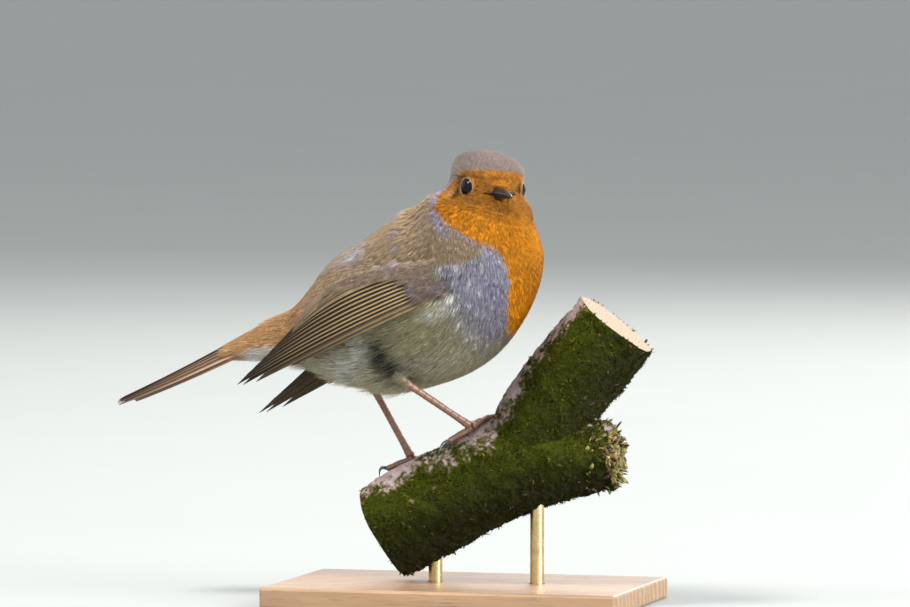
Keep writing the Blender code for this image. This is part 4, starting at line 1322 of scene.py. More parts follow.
def wing_coat(label, material):
    """Small soft coverts over the fore part of a wing, in the same tufts as the mantle."""
    surface = wing_surface(label)
    rng = np.random.default_rng(31 if surface.side > 0 else 32)
    rows = np.arange(0.4, 49.0, 0.95)
    l, w = [], []
    for number, row in enumerate(rows):
        share = row / surface.length
        low = -along(WING_LOWER_EDGE, share) + 0.3 + 1.6 * softly(row, 3.0, 9.0)
        low = max(low, along(COVERT_LINE, row + 4.6))
        high = along(WING_UPPER_EDGE, share) + 0.4
        place = np.arange(low + 0.5 * (number % 2), high, 0.95)
        l.append(np.full(len(place), row))
        w.append(place)
    l = np.concatenate(l)
    w = np.concatenate(w)
    l = l + 0.35 * rng.standard_normal(len(l))
    w = w + 0.2 * rng.standard_normal(len(w))
    way = surface.run - 0.10 * surface.rise + np.zeros((len(l), 3))
    seats = seat(surface, l, w, way, surface.side)
    length = (3.6 + 0.08 * np.minimum(l, 16.0)) * (0.9 + 0.2 * rng.random(len(l)))
    rise = 0.55 + 0.25 * softly(l, 0.0, 8.0)
    patch = stack(0.02 + 0.96 * np.clip(l / 50.0, 0, 1), 0.5 + w / 40.0)
    parts = tuft_parts(seats, patch, length, 0.32 * length + 0.3, np.full(len(l), 0.25), rise,
                       rng, 8, 0.12, 0.17)
    made, faces, lock, bake = join_blades(parts)
    mauve = 0.65 * np.exp(-((l - 7.0) / 3.6) ** 2 - ((w + 1.6) / 1.5) ** 2)
    mauve += 0.6 * np.exp(-((l - 15.5) / 2.0) ** 2 - ((w - 1.0) / 1.6) ** 2)
    stripes = cloud(stack(l * 0.16, w * 0.9, 0.0), 1.0, 42)
    mauve += 0.35 * softly(stripes, 0.3, 0.7)
    dark = 0.12 + 0.20 * softly(8.0 - w, 0.0, 8.0)
    item = make_piece("robin_coat_wing_" + label, made, faces, material,
                      {"lock": lock, "marks_warm": np.zeros((len(made), 3)),
                       "marks_cool": per_point(stack(mauve, 0.0, 0.0), parts),
                       "marks_tone": per_point(stack(0.5, 0.0, dark), parts)},
                      {"OFBake": bake})
    return settle(item, "wing_feathers")


class FoldWings(bpy.types.Operator):
    """Fold both wings: bed, quills and coverts"""
    bl_idname = "robin.fold_wings"
    bl_label = "Fold the wings"

    def execute(self, context):
        settings = context.scene.robin_vanes
        group = feather_group()
        material = bpy.data.materials["robin_feather_tufts"]
        bed, nodes, shader = new_material("robin_quill_bases", 0.7)
        dim = nodes.scale_range(nodes.noise(nodes.place(), 700.0), 0.3, 0.7)
        colour = nodes.mix(dim, rgba(settings.centre), rgba(settings.covert, 0.4))
        nodes.dress(shader, Base_Color=colour)
        for label in WINGS:
            settle(make_wing_bed(label, bed), "flight_feathers")
            settle(make_wing(label, group, settings), "flight_feathers",
                   "wing_" + label, "flight_feathers_" + label)
            wing_coat(label, material)
        return {"FINISHED"}


TAIL_LENGTH = float(np.linalg.norm(TAIL_TIP - TAIL_ROOT))


class SpreadTail(bpy.types.Operator):
    """Lay the twelve tail feathers, the middle pair on top"""
    bl_idname = "robin.spread_tail"
    bl_label = "Lay the tail"

    def execute(self, context):
        settings = context.scene.robin_vanes
        group = bpy.data.node_groups["robin_vane_pattern"]

        def surface(l, w):
            return tail_surface(l / TAIL_LENGTH, w)
        made, faces, charts, tones, first = [], [[], []], [], [], 0
        for turn in (-1.0, 1.0):
            k = np.arange(6.0)
            root_at = turn * (0.1 + 1.0 * k)
            tip_at = turn * (0.35 + 1.55 * k)
            outer = 2.0 - 0.1 * k
            start = (np.full(6, -5.0), root_at + turn * outer)
            tip = (TAIL_LENGTH - 1.6 + 0.55 * k - 0.12 * k * k, tip_at + turn * 0.4 * outer)
            lift = -0.04 * k
            points, parts, chart, size = vanes(
                surface, -1.0, 27, start, tip, turn * 0.25 * np.ones(6), outer,
                3.2 + 0.3 * k, lift, 0.13, -turn, np.full(6, 0.97))
            made.append(points)
            faces[0].append(parts[0] + first)
            faces[1].append(parts[1] + first)
            charts.append(chart)
            tone = np.array((1.0, 0.10, 0.62, 0.50, 0.60, 0.75))
            edge = np.array((0.90, 0.05, 0.12, 0.22, 0.15, 0.80))
            tones.append(stack(np.repeat(tone, size), np.repeat(0.3 + 0.08 * k, size),
                               np.repeat(edge, size)))
            first += len(points)
        material = vane_material("robin_tail_vanes", group, settings.tail,
                                 settings.centre, (0.38, 0.245, 0.150), 0.62, 70.0)
        chart = np.concatenate(charts)
        item = make_solid("robin_tail_vanes", np.concatenate(made),
                          [np.concatenate(faces[0]), np.concatenate(faces[1])], material,
                          {"vane": np.concatenate(tones)},
                          {"OFBake": atlas(12, size, chart), "vane_chart": chart})
        settle(item, "tail_feathers", "tail")
        return {"FINISHED"}


# ---------------------------------------------------------------- eyes and bill


def ball(centre, radius, axis, rows=33, columns=48):
    """A closed ball whose pole looks along an axis, with its chart from pole to pole."""
    axis = unit(np.asarray(axis, float))
    side = unit(np.cross(axis, (0.0, 0.0, 1.0)))
    over = np.cross(side, axis)
    polar = np.linspace(0.02, math.pi - 0.02, rows)[:, None]
    round_it = circle(columns)[None, :]
    points = centre + radius * (np.cos(polar)[..., None] * axis
                                + (np.sin(polar) * np.cos(round_it))[..., None] * side
                                + (np.sin(polar) * np.sin(round_it))[..., None] * over)
    chart = stack(round_it / math.tau, polar / math.pi)
    return points, closed_grid(rows, columns), chart


def eye_material(bare):
    """A wet dark eye: black pupil, deep brown iris with a darker rim, under a clear coat."""
    material, nodes, shader = new_material("robin_wet_eye", 0.12, Coat_Weight=0.3,
                                           Coat_Roughness=0.02, Specular_IOR_Level=0.05)
    polar = nodes.chart("eye_chart")[2]
    iris = nodes.scale_range(polar, 0.125, 0.14)
    rim = nodes.scale_range(polar, 0.19, 0.22)
    flecks = nodes.scale_range(nodes.noise(nodes.place(), 2500.0), 0.3, 0.7, 0.6, 1.2)
    colour = nodes.mix(iris, (0.0015, 0.0013, 0.0013, 1.0), nodes.shaded(rgba(bare.iris), flecks))
    colour = nodes.mix(rim, colour, (0.003, 0.002, 0.002, 1.0))
    nodes.dress(shader, Base_Color=colour)
    return material


def lid_material(bare):
    """Bare buff skin of the lids with a fine grain."""
    material, nodes, shader = new_material("robin_lid_skin", 0.6)
    grain = nodes.noise(nodes.place(), 3000.0)
    nodes.dress(shader, Base_Color=nodes.mottled(grain, 0.3, 0.7, bare.lid, 0.55, 1.2),
                Normal=nodes.bump(grain, 0.0001, 0.6))
    return material


def eye_ways(hand):
    """An eye's middle, the way it looks, and the ways forward and up across that."""
    axis = eye_axis(hand) @ HEAD
    fore = unit(HEAD[0] - (HEAD[0] @ axis) * axis)
    over = np.cross(fore, axis)
    return from_head(eye_centre(hand)), axis, fore, over * np.sign(over @ HEAD[2])


def lid_ring(hand):
    """Places round an eye on its lid: middle line, way out of the eye and way off the axis.
    The opening is a circle drawn out a little towards both corners."""
    centre, axis, fore, over = eye_ways(hand)

    def at(angle):
        polar = 0.80 + 0.05 * np.abs(np.cos(angle)) ** 5
        radial = (np.cos(angle)[..., None] * fore + np.sin(angle)[..., None] * over)
        out = np.cos(polar)[..., None] * axis + np.sin(polar)[..., None] * radial
        off = np.cos(polar)[..., None] * radial - np.sin(polar)[..., None] * axis
        return centre + EYE_RADIUS * out, out, off
    return at


def eye_ring_tufts(label, hand, skin, material):
    """Rows of the smallest tufts from the lid out to the face, on the skin or the ball,
    whichever stands further out; pale buff next to the lid, strongest below and behind."""
    rng = np.random.default_rng(61 if hand > 0 else 62)
    centre, axis, fore, over = eye_ways(hand)
    rows, count = 6, 64
    angle = np.concatenate([circle(count) + 0.05 * k for k in range(rows)])
    row = np.repeat(np.arange(float(rows)), count)
    angle = angle + 0.03 * rng.standard_normal(len(angle))
    reach = 2.78 + 0.30 * row + 0.06 * rng.standard_normal(len(row))
    radial = np.cos(angle)[:, None] * fore + np.sin(angle)[:, None] * over
    away = centre + reach[:, None] * radial
    root, out = [], []
    for place, far in zip(away, reach):
        held = math.sqrt(max(EYE_RADIUS ** 2 - far * far, 0.0))
        hit, normal = skin.ray_cast(Vector((place + 9.0 * axis) * MM), Vector(-axis))[:2]
        level = held
        if hit is not None:
            level = max(held, float((np.array(hit) / MM - centre) @ axis) + 0.08)
        root.append(place + level * axis)
        out.append(np.array(normal) if hit is not None else axis)
    out = unit(0.6 * np.array(out) + 0.4 * axis)
    lie = square_to(unit(radial - 0.75 * HEAD[0]), out)
    seats = seats_at(np.array(root), lie, out, 0.10, 0.10)
    length = 0.62 + 0.15 * rng.random(len(angle)) + 0.10 * row
    patch = stack(0.3 + 0.2 * hand + 0.02 * np.cos(angle), 0.96 + 0.004 * row)
    parts = tuft_parts(seats, patch, length, 0.3 * length + 0.15, np.full(len(angle), 0.02),
                       0.14 + 0.04 * row, rng, 4, 0.3, 0.09)
    made, faces, lock, bake = join_blades(parts)
    pale = 0.35 + 0.65 * softly(-0.7 * np.cos(angle) - 0.8 * np.sin(angle), -0.6, 0.5)
    pale = 0.26 * pale * softly(1.6 - row, 0.0, 1.6)
    behind = softly(-np.cos(angle) + 0.5 * np.sin(angle), -0.2, 0.9)
    warm = stack(1.0, 0.6 + 0.35 * behind, 0.0)
    item = make_piece("robin_eye_ring_" + label, made, faces, material,
                      {"lock": lock, "marks_warm": per_point(warm, parts),
                       "marks_cool": np.zeros((len(made), 3)),
                       "marks_tone": per_point(stack(0.0, pale, 0.0), parts)},
                      {"OFBake": bake})
    return settle(item, "orange_plumage")


class SetEyes(bpy.types.Operator):
    """Set both eyes with their lids and eye rings"""
    bl_idname = "robin.set_eyes"
    bl_label = "Set the eyes"

    def execute(self, context):
        bare = context.scene.robin_bare
        wet = eye_material(bare)
        skin = lid_material(bare)
        tufts = bpy.data.materials["robin_feather_tufts"]
        flesh_tree = search_tree(bpy.data.objects["robin_skin"])
        for label, hand in HANDS.items():
            points, faces, chart = ball(from_head(eye_centre(hand)), EYE_RADIUS,
                                        eye_axis(hand) @ HEAD)
            eye = make_solid("robin_eye_" + label, points, faces, wet, maps={"eye_chart": chart})
            settle(eye, "eye", "eye_" + label)
            angle = circle(72)[:, None]
            turn = circle(14)[None, :]
            middle, out, off = lid_ring(hand)(angle)
            wide = (0.24 + 0.02 * np.sin(9.0 * angle))[..., None]
            made = middle + wide * np.sin(turn)[..., None] * off
            made = made + 0.24 * np.cos(turn)[..., None] * out
            rows, columns = made.shape[:2]
            seam = np.arange(columns)
            ahead = (seam + 1) % columns
            last = (rows - 1) * columns
            close = stack(last + seam, last + ahead, ahead, seam)
            settle(make_solid("robin_lids_" + label, made, [closed_grid(rows, columns)[0], close],
                              skin), "eye")
            eye_ring_tufts(label, hand, flesh_tree, tufts)
        return {"FINISHED"}


def bill_half(upper):
    """One half of the bill: arcs across it that taper along it, with a ridge on the culmen,
    a hooked end and a long nostril in a hollow on each side."""
    share = np.linspace(0.0, 1.0, 56)[:, None]
    angle = np.linspace(0.0, math.pi, 33)[None, :]
    taper = 1.0 - 0.93 * share ** 0.9
    width = BILL_HALF_WIDTH * taper + 0.50 * np.exp(-((share - 0.2) / 0.22) ** 2)
    sign = 1.0 if upper else -1.0
    tall = (BILL_UPPER_HEIGHT if upper else BILL_LOWER_HEIGHT) * (1.0 - 0.88 * share ** 1.15)
    reach = BILL_ROOT + (BILL_TIP - BILL_ROOT) * (share if upper else 0.955 * share)
    level = -BILL_DROP - 0.5 * share ** 2
    side = width * np.sign(np.cos(angle)) * np.abs(np.cos(angle)) ** 0.94
    up = sign * (0.12 + tall * np.sin(angle) ** 1.06)
    around = np.abs(angle - 0.5 * math.pi)
    up = up + sign * 0.10 * np.exp(-(around / 0.16) ** 2) * (1.0 - share)
    if upper:
        nostril = np.exp(-((share - 0.26) / 0.075) ** 2 - ((around - 0.86) / 0.20) ** 2)
        side = side * (1.0 - 0.16 * nostril)
        up = up - 0.22 * nostril
        up = up - 0.22 * softly(share, 0.86, 1.0)
    points = from_head(stack(reach, side, level + up))
    chart = stack(angle / math.pi, share)
    return points, closed_grid(*points.shape[:2]), chart


def horn_material(bare):
    """Dark horn, paler at its root and streaked along the bill."""
    material, nodes, shader = new_material("robin_bill_horn", 0.4, Coat_Weight=0.6,
                                           Coat_Roughness=0.10, Specular_IOR_Level=0.15)
    chart, _, share = nodes.chart("bill_chart")
    grain = nodes.noise(nodes.place(), 1500.0, 4.0)
    streaks = nodes.noise(nodes.drawn_out(chart, (26.0, 2.0, 1.0)), 3.0, 3.0)
    base = nodes.mottled(streaks, 0.3, 0.7, bare.horn, 0.6, 1.3)
    root = nodes.scale_range(nodes.plus(share, nodes.times(grain, 0.1)), 0.10, 0.24, 0.3, 0.0)
    nodes.dress(shader, Base_Color=nodes.mix(root, base, rgba(bare.gape)),
                Roughness=nodes.scale_range(grain, 0.3, 0.7, 0.22, 0.42),
                Normal=nodes.bump(streaks, 0.00004, 0.4))
    return material


def gape_material(bare):
    """Matt dark skin at the corner of the mouth."""
    material, nodes, shader = new_material("robin_gape_skin", 0.65, Specular_IOR_Level=0.12)
    grain = nodes.noise(nodes.place(), 2200.0)
    nodes.dress(shader, Base_Color=nodes.mottled(grain, 0.3, 0.7, bare.gape, 0.25, 0.6))
    return material


def gape_piece(hand, label, horn):
    """The corner of the mouth: a dark tapered band that runs from the bill's root back over
    the cheek towards the eye, on the coat's own level."""
    head = search_tree(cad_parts["head"])
    share = np.linspace(0.0, 1.0, 22)
    line = []
    for s in share:
        start = from_head((24.0, hand * (1.3 + 3.9 * s), -BILL_DROP - 0.25 + 0.45 * s))
        hit = head.ray_cast(Vector(start * MM), Vector(-HEAD[0]))[0]
        line.append(np.array(hit) / MM)
    line = np.array(line) - 0.1 * HEAD[0] * (1.0 - share)[:, None]
    line = line + 0.06 * unit(line - HEAD_MIDDLE)
    points, faces, chart = tube(line, (0.52 - 0.3 * share) * round_ends(22, 0.05, 0.5), 16,
                                tuple(HEAD[2]), None, 0.6)
    return make_solid("robin_gape_" + label, points, faces, horn, maps={"bill_chart": chart})


class FitBill(bpy.types.Operator):
    """Fit both halves of the bill and the bristles at its root"""
    bl_idname = "robin.fit_bill"
    bl_label = "Fit the bill"

    def execute(self, context):
        horn = horn_material(context.scene.robin_bare)
        corner = gape_material(context.scene.robin_bare)
        for upper, label in ((True, "upper"), (False, "lower")):
            points, faces, chart = bill_half(upper)
            item = make_solid("robin_bill_" + label, points, faces, horn,
                              maps={"bill_chart": chart})
            settle(item, "bill_horn", "bill_" + label)
        for label, hand in HANDS.items():
            settle(gape_piece(hand, label, corner), "bill_horn")
        rng = np.random.default_rng(71)
        count = 22
        hand = np.where(np.arange(count) % 2 == 0, 1.0, -1.0)
        local = stack(BILL_ROOT + 0.9 + 0.8 * rng.random(count),
                      hand * (2.3 + 0.6 * rng.random(count)),
                      -BILL_DROP + 1.5 * (rng.random(count) - 0.35))
        lie = unit(stack(0.8 + 0.4 * rng.random(count), hand * (0.35 + 0.4 * rng.random(count)),
                         -0.35 + 0.3 * rng.random(count))) @ HEAD
        out = unit(np.cross(lie, np.cross(unit(hand[:, None] * HEAD[1]), lie)))
        seats = seats_at(from_head(local), lie, out, 0.06)
        zero = np.zeros(count)
        made = blades(seats, 2.2 + 1.2 * rng.random(count), zero + 0.07, zero + 0.05, BARB,
                      (zero, zero), zero, zero, 0.1 * rng.standard_normal(count))
        points, faces, lock, _ = join_blades([(*made, zero, zero, np.zeros((count, 2)) + 0.5)])
        item = make_piece("robin_bristles", points, faces, horn, maps={"bill_chart": lock[:, :2]})
        settle(item, "bill_horn")
        return {"FINISHED"}


# ---------------------------------------------------------------- legs and feet


def tube(line, radii, sides, ref, swell=None, flat=1.0):
    """A tube along a line: a ring at every point across the line's own direction, its radius
    times a swell that depends on place and angle, and rounded closed ends."""
    line = np.asarray(line, float)
    tangents = unit(np.gradient(line, axis=0))
    ref = np.asarray(ref, float)
    across = unit(ref - (tangents @ ref)[:, None] * tangents)
    over = np.cross(tangents, across)
    angle = circle(sides)
    size = np.asarray(radii, float)[:, None] * np.ones(sides)
    if swell is not None:
        size = size * swell(np.linspace(0.0, 1.0, len(line))[:, None], angle[None, :])
    ring = np.cos(angle)[None, :, None] * across[:, None]
    ring = ring + flat * np.sin(angle)[None, :, None] * over[:, None]
    points = line[:, None] + size[..., None] * ring
    chart = stack(angle[None, :] / math.tau, np.linspace(0.0, 1.0, len(line))[:, None])
    return points, closed_grid(len(line), sides), chart


def round_ends(count, start, end):
    """Shares of a radius that round off both ends of a tube over a few rows."""
    place = np.linspace(0.0, 1.0, count)
    near, far = (np.sqrt(1.0 - np.clip(1.0 - share, 0, 1) ** 2)
                 for share in (place / start, (1.0 - place) / end))
    return np.clip(near * far, 0.04, 1.0)


def merge(parts):
    """Several tubes as one set of points, faces and charts."""
    points, quads, caps, charts, first = [], [], [], [], 0
    for made, faces, chart in parts:
        points.append(made.reshape(-1, 3))
        quads.append(faces[0] + first)
        caps.append(faces[1] + first)
        charts.append(chart.reshape(-1, 2))
        first += len(points[-1])
    return np.concatenate(points), [np.concatenate(quads)] + caps, np.concatenate(charts)


def creep(tree, start, way, length, lift):
    """A line that creeps over the branch from a start, held off it by the lifts given."""
    point = Vector(start)
    way = Vector(way).normalized()
    line = []
    steps = len(lift) - 1
    for k in range(steps + 1):
        hit, normal = tree.find_nearest(point * MM)[:2]
        point = hit / MM + normal * float(lift[k])
        line.append(np.array(point))
        way = (way - way.dot(normal) * normal).normalized()
        point = point + way * (length / steps)
    return np.array(line), way


def leg_material(bare):
    """Scaled skin: rows of broad scutes along each toe and shank, with a satin gloss."""
    material, nodes, shader = new_material(
        "robin_leg_skin", 0.42, Specular_IOR_Level=0.5, Coat_Weight=0.1,
        Subsurface_Weight=0.08, Subsurface_Scale=0.0006)
    saw = nodes.math("FRACT", nodes.chart("leg_chart")[2])
    groove = nodes.scale_range(nodes.math("ABSOLUTE", nodes.math("SUBTRACT", saw, 0.5)), 0.38, 0.5)
    grain = nodes.noise(nodes.place(), 1800.0, 4.0)
    colour = nodes.mottled(grain, 0.3, 0.7, bare.leg, 0.62, 1.25)
    colour = nodes.mix(nodes.times(groove, 0.35), colour, rgba(bare.leg, 0.4))
    height = nodes.plus(nodes.times(groove, -1.0), nodes.times(grain, 0.3))
    nodes.dress(shader, Base_Color=colour, Normal=nodes.bump(height, 0.00012, 0.8))
    return material


def claw_material(bare):
    """Slate horn with a fine grain, paler at the root."""
    material, nodes, shader = new_material("robin_claw_horn", 0.28, Coat_Weight=0.3,
                                           Coat_Roughness=0.15)
    grain = nodes.noise(nodes.place(), 1600.0, 3.0)
    root = nodes.scale_range(nodes.chart("leg_chart")[2], 0.0, 0.3, 0.7, 0.0)
    colour = nodes.mottled(grain, 0.3, 0.7, bare.claw, 0.6, 1.6)
    nodes.dress(shader, Base_Color=nodes.mix(root, colour, rgba(bare.leg, 0.5)))
    return material


def scutes(count, depth=0.05):
    """Swell of a scaled limb: each scute rises to its lower rim on the upper side."""
    def swell(share, angle):
        rim = (share * count) % 1.0
        upper = 0.5 + 0.5 * np.sin(angle)
        scute = softly(rim, 0.0, 0.75) - softly(rim, 0.86, 1.0)
        sole = 0.05 * np.sin(math.tau * share * count * 1.7)
        return 1.0 + depth * upper * scute + sole * (1.0 - upper)
    return swell


def toe_swell(count, pads):
    """Scutes over a toe and round pads under its joints."""
    over = scutes(count)

    def swell(share, angle):
        under = np.clip(-np.sin(angle), 0.0, 1.0)
        return over(share, angle) + 0.10 * under * np.abs(np.sin(math.pi * pads * share)) ** 0.7
    return swell


def make_leg(label, tree, skin, horn):
    """Shank, toes and claws of one leg, creeping over the branch from the foot's middle."""
    x, y = FEET[label]
    top = tree.ray_cast(Vector((x * MM, y * MM, 0.2)), Vector((0.0, 0.0, -1.0)))[0] / MM
    centre = np.array((top.x, top.y, top.z + 1.35 * TOE_RADIUS + GAP))
    ankle = np.array(ANKLES[label])
    down = unit(centre - ankle)
    share = np.linspace(-0.03, 1.0, 60)
    line = ankle + share[:, None] * (centre - 0.5 * down - ankle)
    radii = TARSUS_RADIUS * (0.94 + 0.42 * np.abs(2.0 * np.clip(share, 0, 1) - 1.0) ** 4)
    radii = radii * round_ends(60, 0.02, 0.03)
    shank = tube(line, radii, 20, (0.0, 1.0, 0.0), scutes(11, 0.025))
    shank[2][..., 1] *= 11.0
    settle(make_solid("robin_shank_" + label, *shank[:2], skin, maps={"leg_chart": shank[2]}),
           "leg_scales", "tarsus_" + label)
    pad, pad_faces, pad_chart = ball(centre, 1.42 * TOE_RADIUS, (0.0, 0.0, 1.0), 17, 24)
    toes = [(pad, pad_faces, pad_chart * 2.0)]
    for name, heading, length, claw_length, turn in TOES[label]:
        way = (math.cos(math.radians(heading)), math.sin(math.radians(heading)), 0.0)
        steps = 6
        lift = TOE_RADIUS * (1.0 - 0.2 * np.arange(steps + 1) / steps) + GAP
        lift[0] = np.linalg.norm(centre - np.array(tree.find_nearest(Vector(centre) * MM)[0]) / MM)
        knots, way = creep(tree, centre, way, length, lift)
        rows = 44
        place = np.linspace(0.0, 1.0, rows)
        line = smooth_rows(knots, place * steps)
        line = line + np.array(way)[None] * (0.25 * softly(place, 0.9, 1.0))[:, None]
        joints = 3.0 if name != "hallux" else 2.0
        radii = TOE_RADIUS * (1.04 - 0.26 * place)
        radii = radii * (1.0 + 0.07 * np.cos(math.tau * joints * place))
        radii = radii * round_ends(rows, 0.05, 0.10)
        count = 9.0 if name == "middle" else 7.0
        swell = toe_swell(count, joints)
        toe = tube(line, radii, 18, (0.0, 0.0, 1.0), lambda s, a: swell(s, a + 0.5 * math.pi))
        toe[2][..., 1] *= count
        toes.append(toe)
        arch_steps = 9
        part = np.linspace(0.0, 1.0, arch_steps + 1)
        arch = CLAW_RADIUS * (1.0 - 0.75 * part) + GAP
        arch = arch + CLAW_ARCH * claw_length * np.sin(math.pi * part) ** 0.8
        arch[0] = lift[-1]
        end = Vector(knots[-1]) + way * (GAP - 0.5)
        away = end - tree.find_nearest(end * MM)[0] / MM
        way = Quaternion(away.normalized(), math.radians(turn)) @ way
        knots, way = creep(tree, end, way, claw_length + 0.5, arch)
        rows = 30
        place = np.linspace(0.0, 1.0, rows)
        line = smooth_rows(knots, place * arch_steps)
        radii = CLAW_RADIUS * 1.12 * (1.0 - 0.86 * place ** 1.1) * round_ends(rows, 0.06, 0.04)
        claw = tube(line, radii, 14, (0.0, 0.0, 1.0))
        settle(make_solid("robin_claw_%s_%s" % (name, label), *claw[:2], horn,
                          maps={"leg_chart": claw[2]}),
               "claw_horn", "claw_%s_%s" % (name, label))
    points, faces, chart = merge(toes)
    settle(make_solid("robin_foot_" + label, points, faces, skin, maps={"leg_chart": chart}),
           "leg_scales", "foot_" + label)


def trousers(label, material):
    """Short tufts of belly down that cover the top of a shank and point down it."""
    x, y = FEET[label]
    ankle = np.array(ANKLES[label])
    down = unit(np.array((x, y, 46.0 if label == "right" else 40.0)) - ankle)
    across = unit(np.cross(down, (0.0, 1.0, 0.0)))
    over = np.cross(down, across)

    def surface(s, turn):
        size = 1.15 + 0.7 * softly(-s, -1.5, 2.5)
        ring = np.cos(turn)[..., None] * across + np.sin(turn)[..., None] * over
        return ankle + s[..., None] * down + size[..., None] * ring

    rng = np.random.default_rng(91 if label == "right" else 92)
    count = 22
    s = np.repeat(np.arange(-2.6, 0.6, 0.6), count)
    turn = np.tile(circle(count), len(s) // count)
    s = s + 0.3 * rng.standard_normal(len(s))
    turn = turn + 0.2 * rng.standard_normal(len(s))
    away = surface(s, turn) - ankle - s[:, None] * down
    hand = np.sign(dot(facing(surface, s, turn), away).mean())
    seats = seat(surface, s, turn, down + np.zeros((len(s), 3)), hand)
    length = 1.8 + 1.2 * rng.random(len(s))
    patch = stack(0.9 + 0.08 * turn / math.tau, 0.5 + 0.02 * s)
    parts = tuft_parts(seats, patch, length, 0.28 * length + 0.2, np.full(len(s), 0.6),
                       0.1 + 0.5 * rng.random(len(s)), rng, 6, 0.3, 0.14)
    made, faces, lock, bake = join_blades(parts)
    blank = np.zeros((len(made), 3))
    dark = 0.35 + 0.25 * lock[:, 1]
    item = make_piece("robin_coat_leg_" + label, made, faces, material,
                      {"lock": lock, "marks_warm": blank, "marks_cool": blank + (0.0, 1.0, 0.8),
                       "marks_tone": blank + dark[:, None] * (0.0, 0.0, 1.0)},
                      {"OFBake": bake})
    return settle(item, "thigh_plumage")


class SetLegs(bpy.types.Operator):
    """Set shanks, feet and claws on the branch"""
    bl_idname = "robin.set_legs"
    bl_label = "Set the legs"

    def execute(self, context):
        bare = context.scene.robin_bare
        skin = leg_material(bare)
        horn = claw_material(bare)
        tree = search_tree(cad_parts["perch_branch"])
        for label in HANDS:
            make_leg(label, tree, skin, horn)
            trousers(label, bpy.data.materials["robin_feather_tufts"])
        return {"FINISHED"}


# ---------------------------------------------------------------- branch


def limb_surface(line, twist, relief):
    """The bark of a limb at a step along its line and an angle round it: the solid's swells
    with furrows of noise let into them."""
    line = np.array(line)

    def surface(step, angle):
        row = smooth_rows(line, step)
        ahead = smooth_rows(line, np.minimum(step + 0.02, len(line) - 1.0))
        before = smooth_rows(line, np.maximum(step - 0.02, 0.0))
        tangent = unit(ahead[..., :3] - before[..., :3])
        ref = np.array((0.0, 1.0, 0.0))
        across = unit(ref - (tangent @ ref)[..., None] * tangent)
        over = np.cross(tangent, across)
        swell = np.sin(3.0 * angle + twist + 0.9 * step) + 0.6 * np.sin(5.0 * angle - 1.7 * step)
        size = row[..., 3] * (1.0 + BARK_SWELL * swell)
        ring = np.cos(angle)[..., None] * across + np.sin(angle)[..., None] * over
        points = row[..., :3] + size[..., None] * ring
        coarse = cloud(points, 2.6, 21)
        fine = cloud(points, 0.9, 22) + 0.5 * cloud(points, 0.45, 23)
        rough = softly(-ring[..., 2], 0.2, 0.9)
        depth = relief * (0.9 * coarse - 0.25 + (0.45 + 0.5 * rough) * fine)
        depth = depth - relief * 1.6 * rough * np.abs(cloud(points * (0.5, 1.0, 1.0), 1.6, 24))
        torn = softly(step, 4.15, 5.0) * (len(line) == len(LIMB_LINE))
        depth = depth - torn * (0.5 + 1.5 * cloud(points * (0.6, 1.0, 1.0), 2.4, 35)
                                + 0.8 * np.abs(cloud(points, 1.0, 36)))
        return points + depth[..., None] * ring, ring, tangent
    return surface


def bark_marks(points, ring):
    """Shares of moss, of painted shade on the underside and of loose pale flakes, from the way each
    place looks: the upper left of each limb is bare."""
    bare = ring @ unit(np.array((-0.62, -0.10, 0.78)))
    ragged = 0.18 * cloud(points, 5.0, 25) + 0.16 * cloud(points, 1.5, 26)
    ragged = ragged + 0.20 * cloud(points, 0.6, 27)
    moss = 1.0 - softly(bare + ragged, 0.50, 1.02)
    patches = softly(cloud(points, 3.0, 28) + 0.5 * cloud(points, 1.2, 29), 1.0, 1.2)
    moss = moss * (1.0 - 0.75 * patches)
    # Painted shade: the downward-facing side of each limb, for near black bark and duller moss.
    under = softly(0.55 - ring[..., 2] + 0.3 * ragged, 0.0, 1.35)
    moss = moss * (1.0 - 0.3 * softly(under, 0.85, 1.0))
    return stack(moss, under, patches)


def limb_piece(surface, steps, rows, columns, ragged_end):
    """A limb as a grid of its bark, with caps that run in to the middle of each end, and the
    number of each face's material: bark, cut wood or torn wood."""
    step = np.linspace(0.0, steps, rows)[:, None]
    angle = circle(columns)[None, :]
    step, angle = np.broadcast_arrays(step, angle)
    points, ring, tangent = surface(step, angle)
    marks = bark_marks(points, ring)
    grid = [points]
    shades = [marks]
    inward = np.array((0.975, 0.90, 0.75, 0.55, 0.32, 0.12))
    if ragged_end:
        inward = np.linspace(0.96, 0.06, 16)
    for where in (0, -1):
        middle = points[where].mean(axis=0)
        cap = middle + inward[:, None, None] * (points[where] - middle)
        value = np.zeros((len(inward), columns, 3))
        if ragged_end and where == -1:
            torn = 1.5 * cloud(cap, 2.4, 31) + 0.7 * cloud(cap, 0.9, 32)
            away = 0.6 + 2.4 * (1.0 - inward[:, None]) * cloud(middle + cap, 5.0, 33)
            cap = cap + (torn * 1.5 + away - 1.0)[..., None] * tangent[where][0]
            value[..., 0] = 0.7 * softly(cloud(cap, 1.5, 34), -0.2, 0.5)
            # A quarter of painted shade on the torn cap.
            value[..., 1] = 0.25
        if where == 0:
            grid.insert(0, cap[::-1])
            shades.insert(0, value[::-1])
        else:
            grid.append(cap)
            shades.append(value)
    made = np.concatenate(grid)
    marks = np.concatenate(shades)
    total = made.shape[0]
    row_of_face = np.repeat(np.arange(total - 1), columns)
    last = row_of_face >= total - 1 - len(inward)
    which = np.concatenate(((row_of_face < len(inward)) | last, (1, 1))).astype(int)
    if ragged_end:
        which[np.append(last, (False, True))] = 2
    return made, closed_grid(total, columns), marks, which


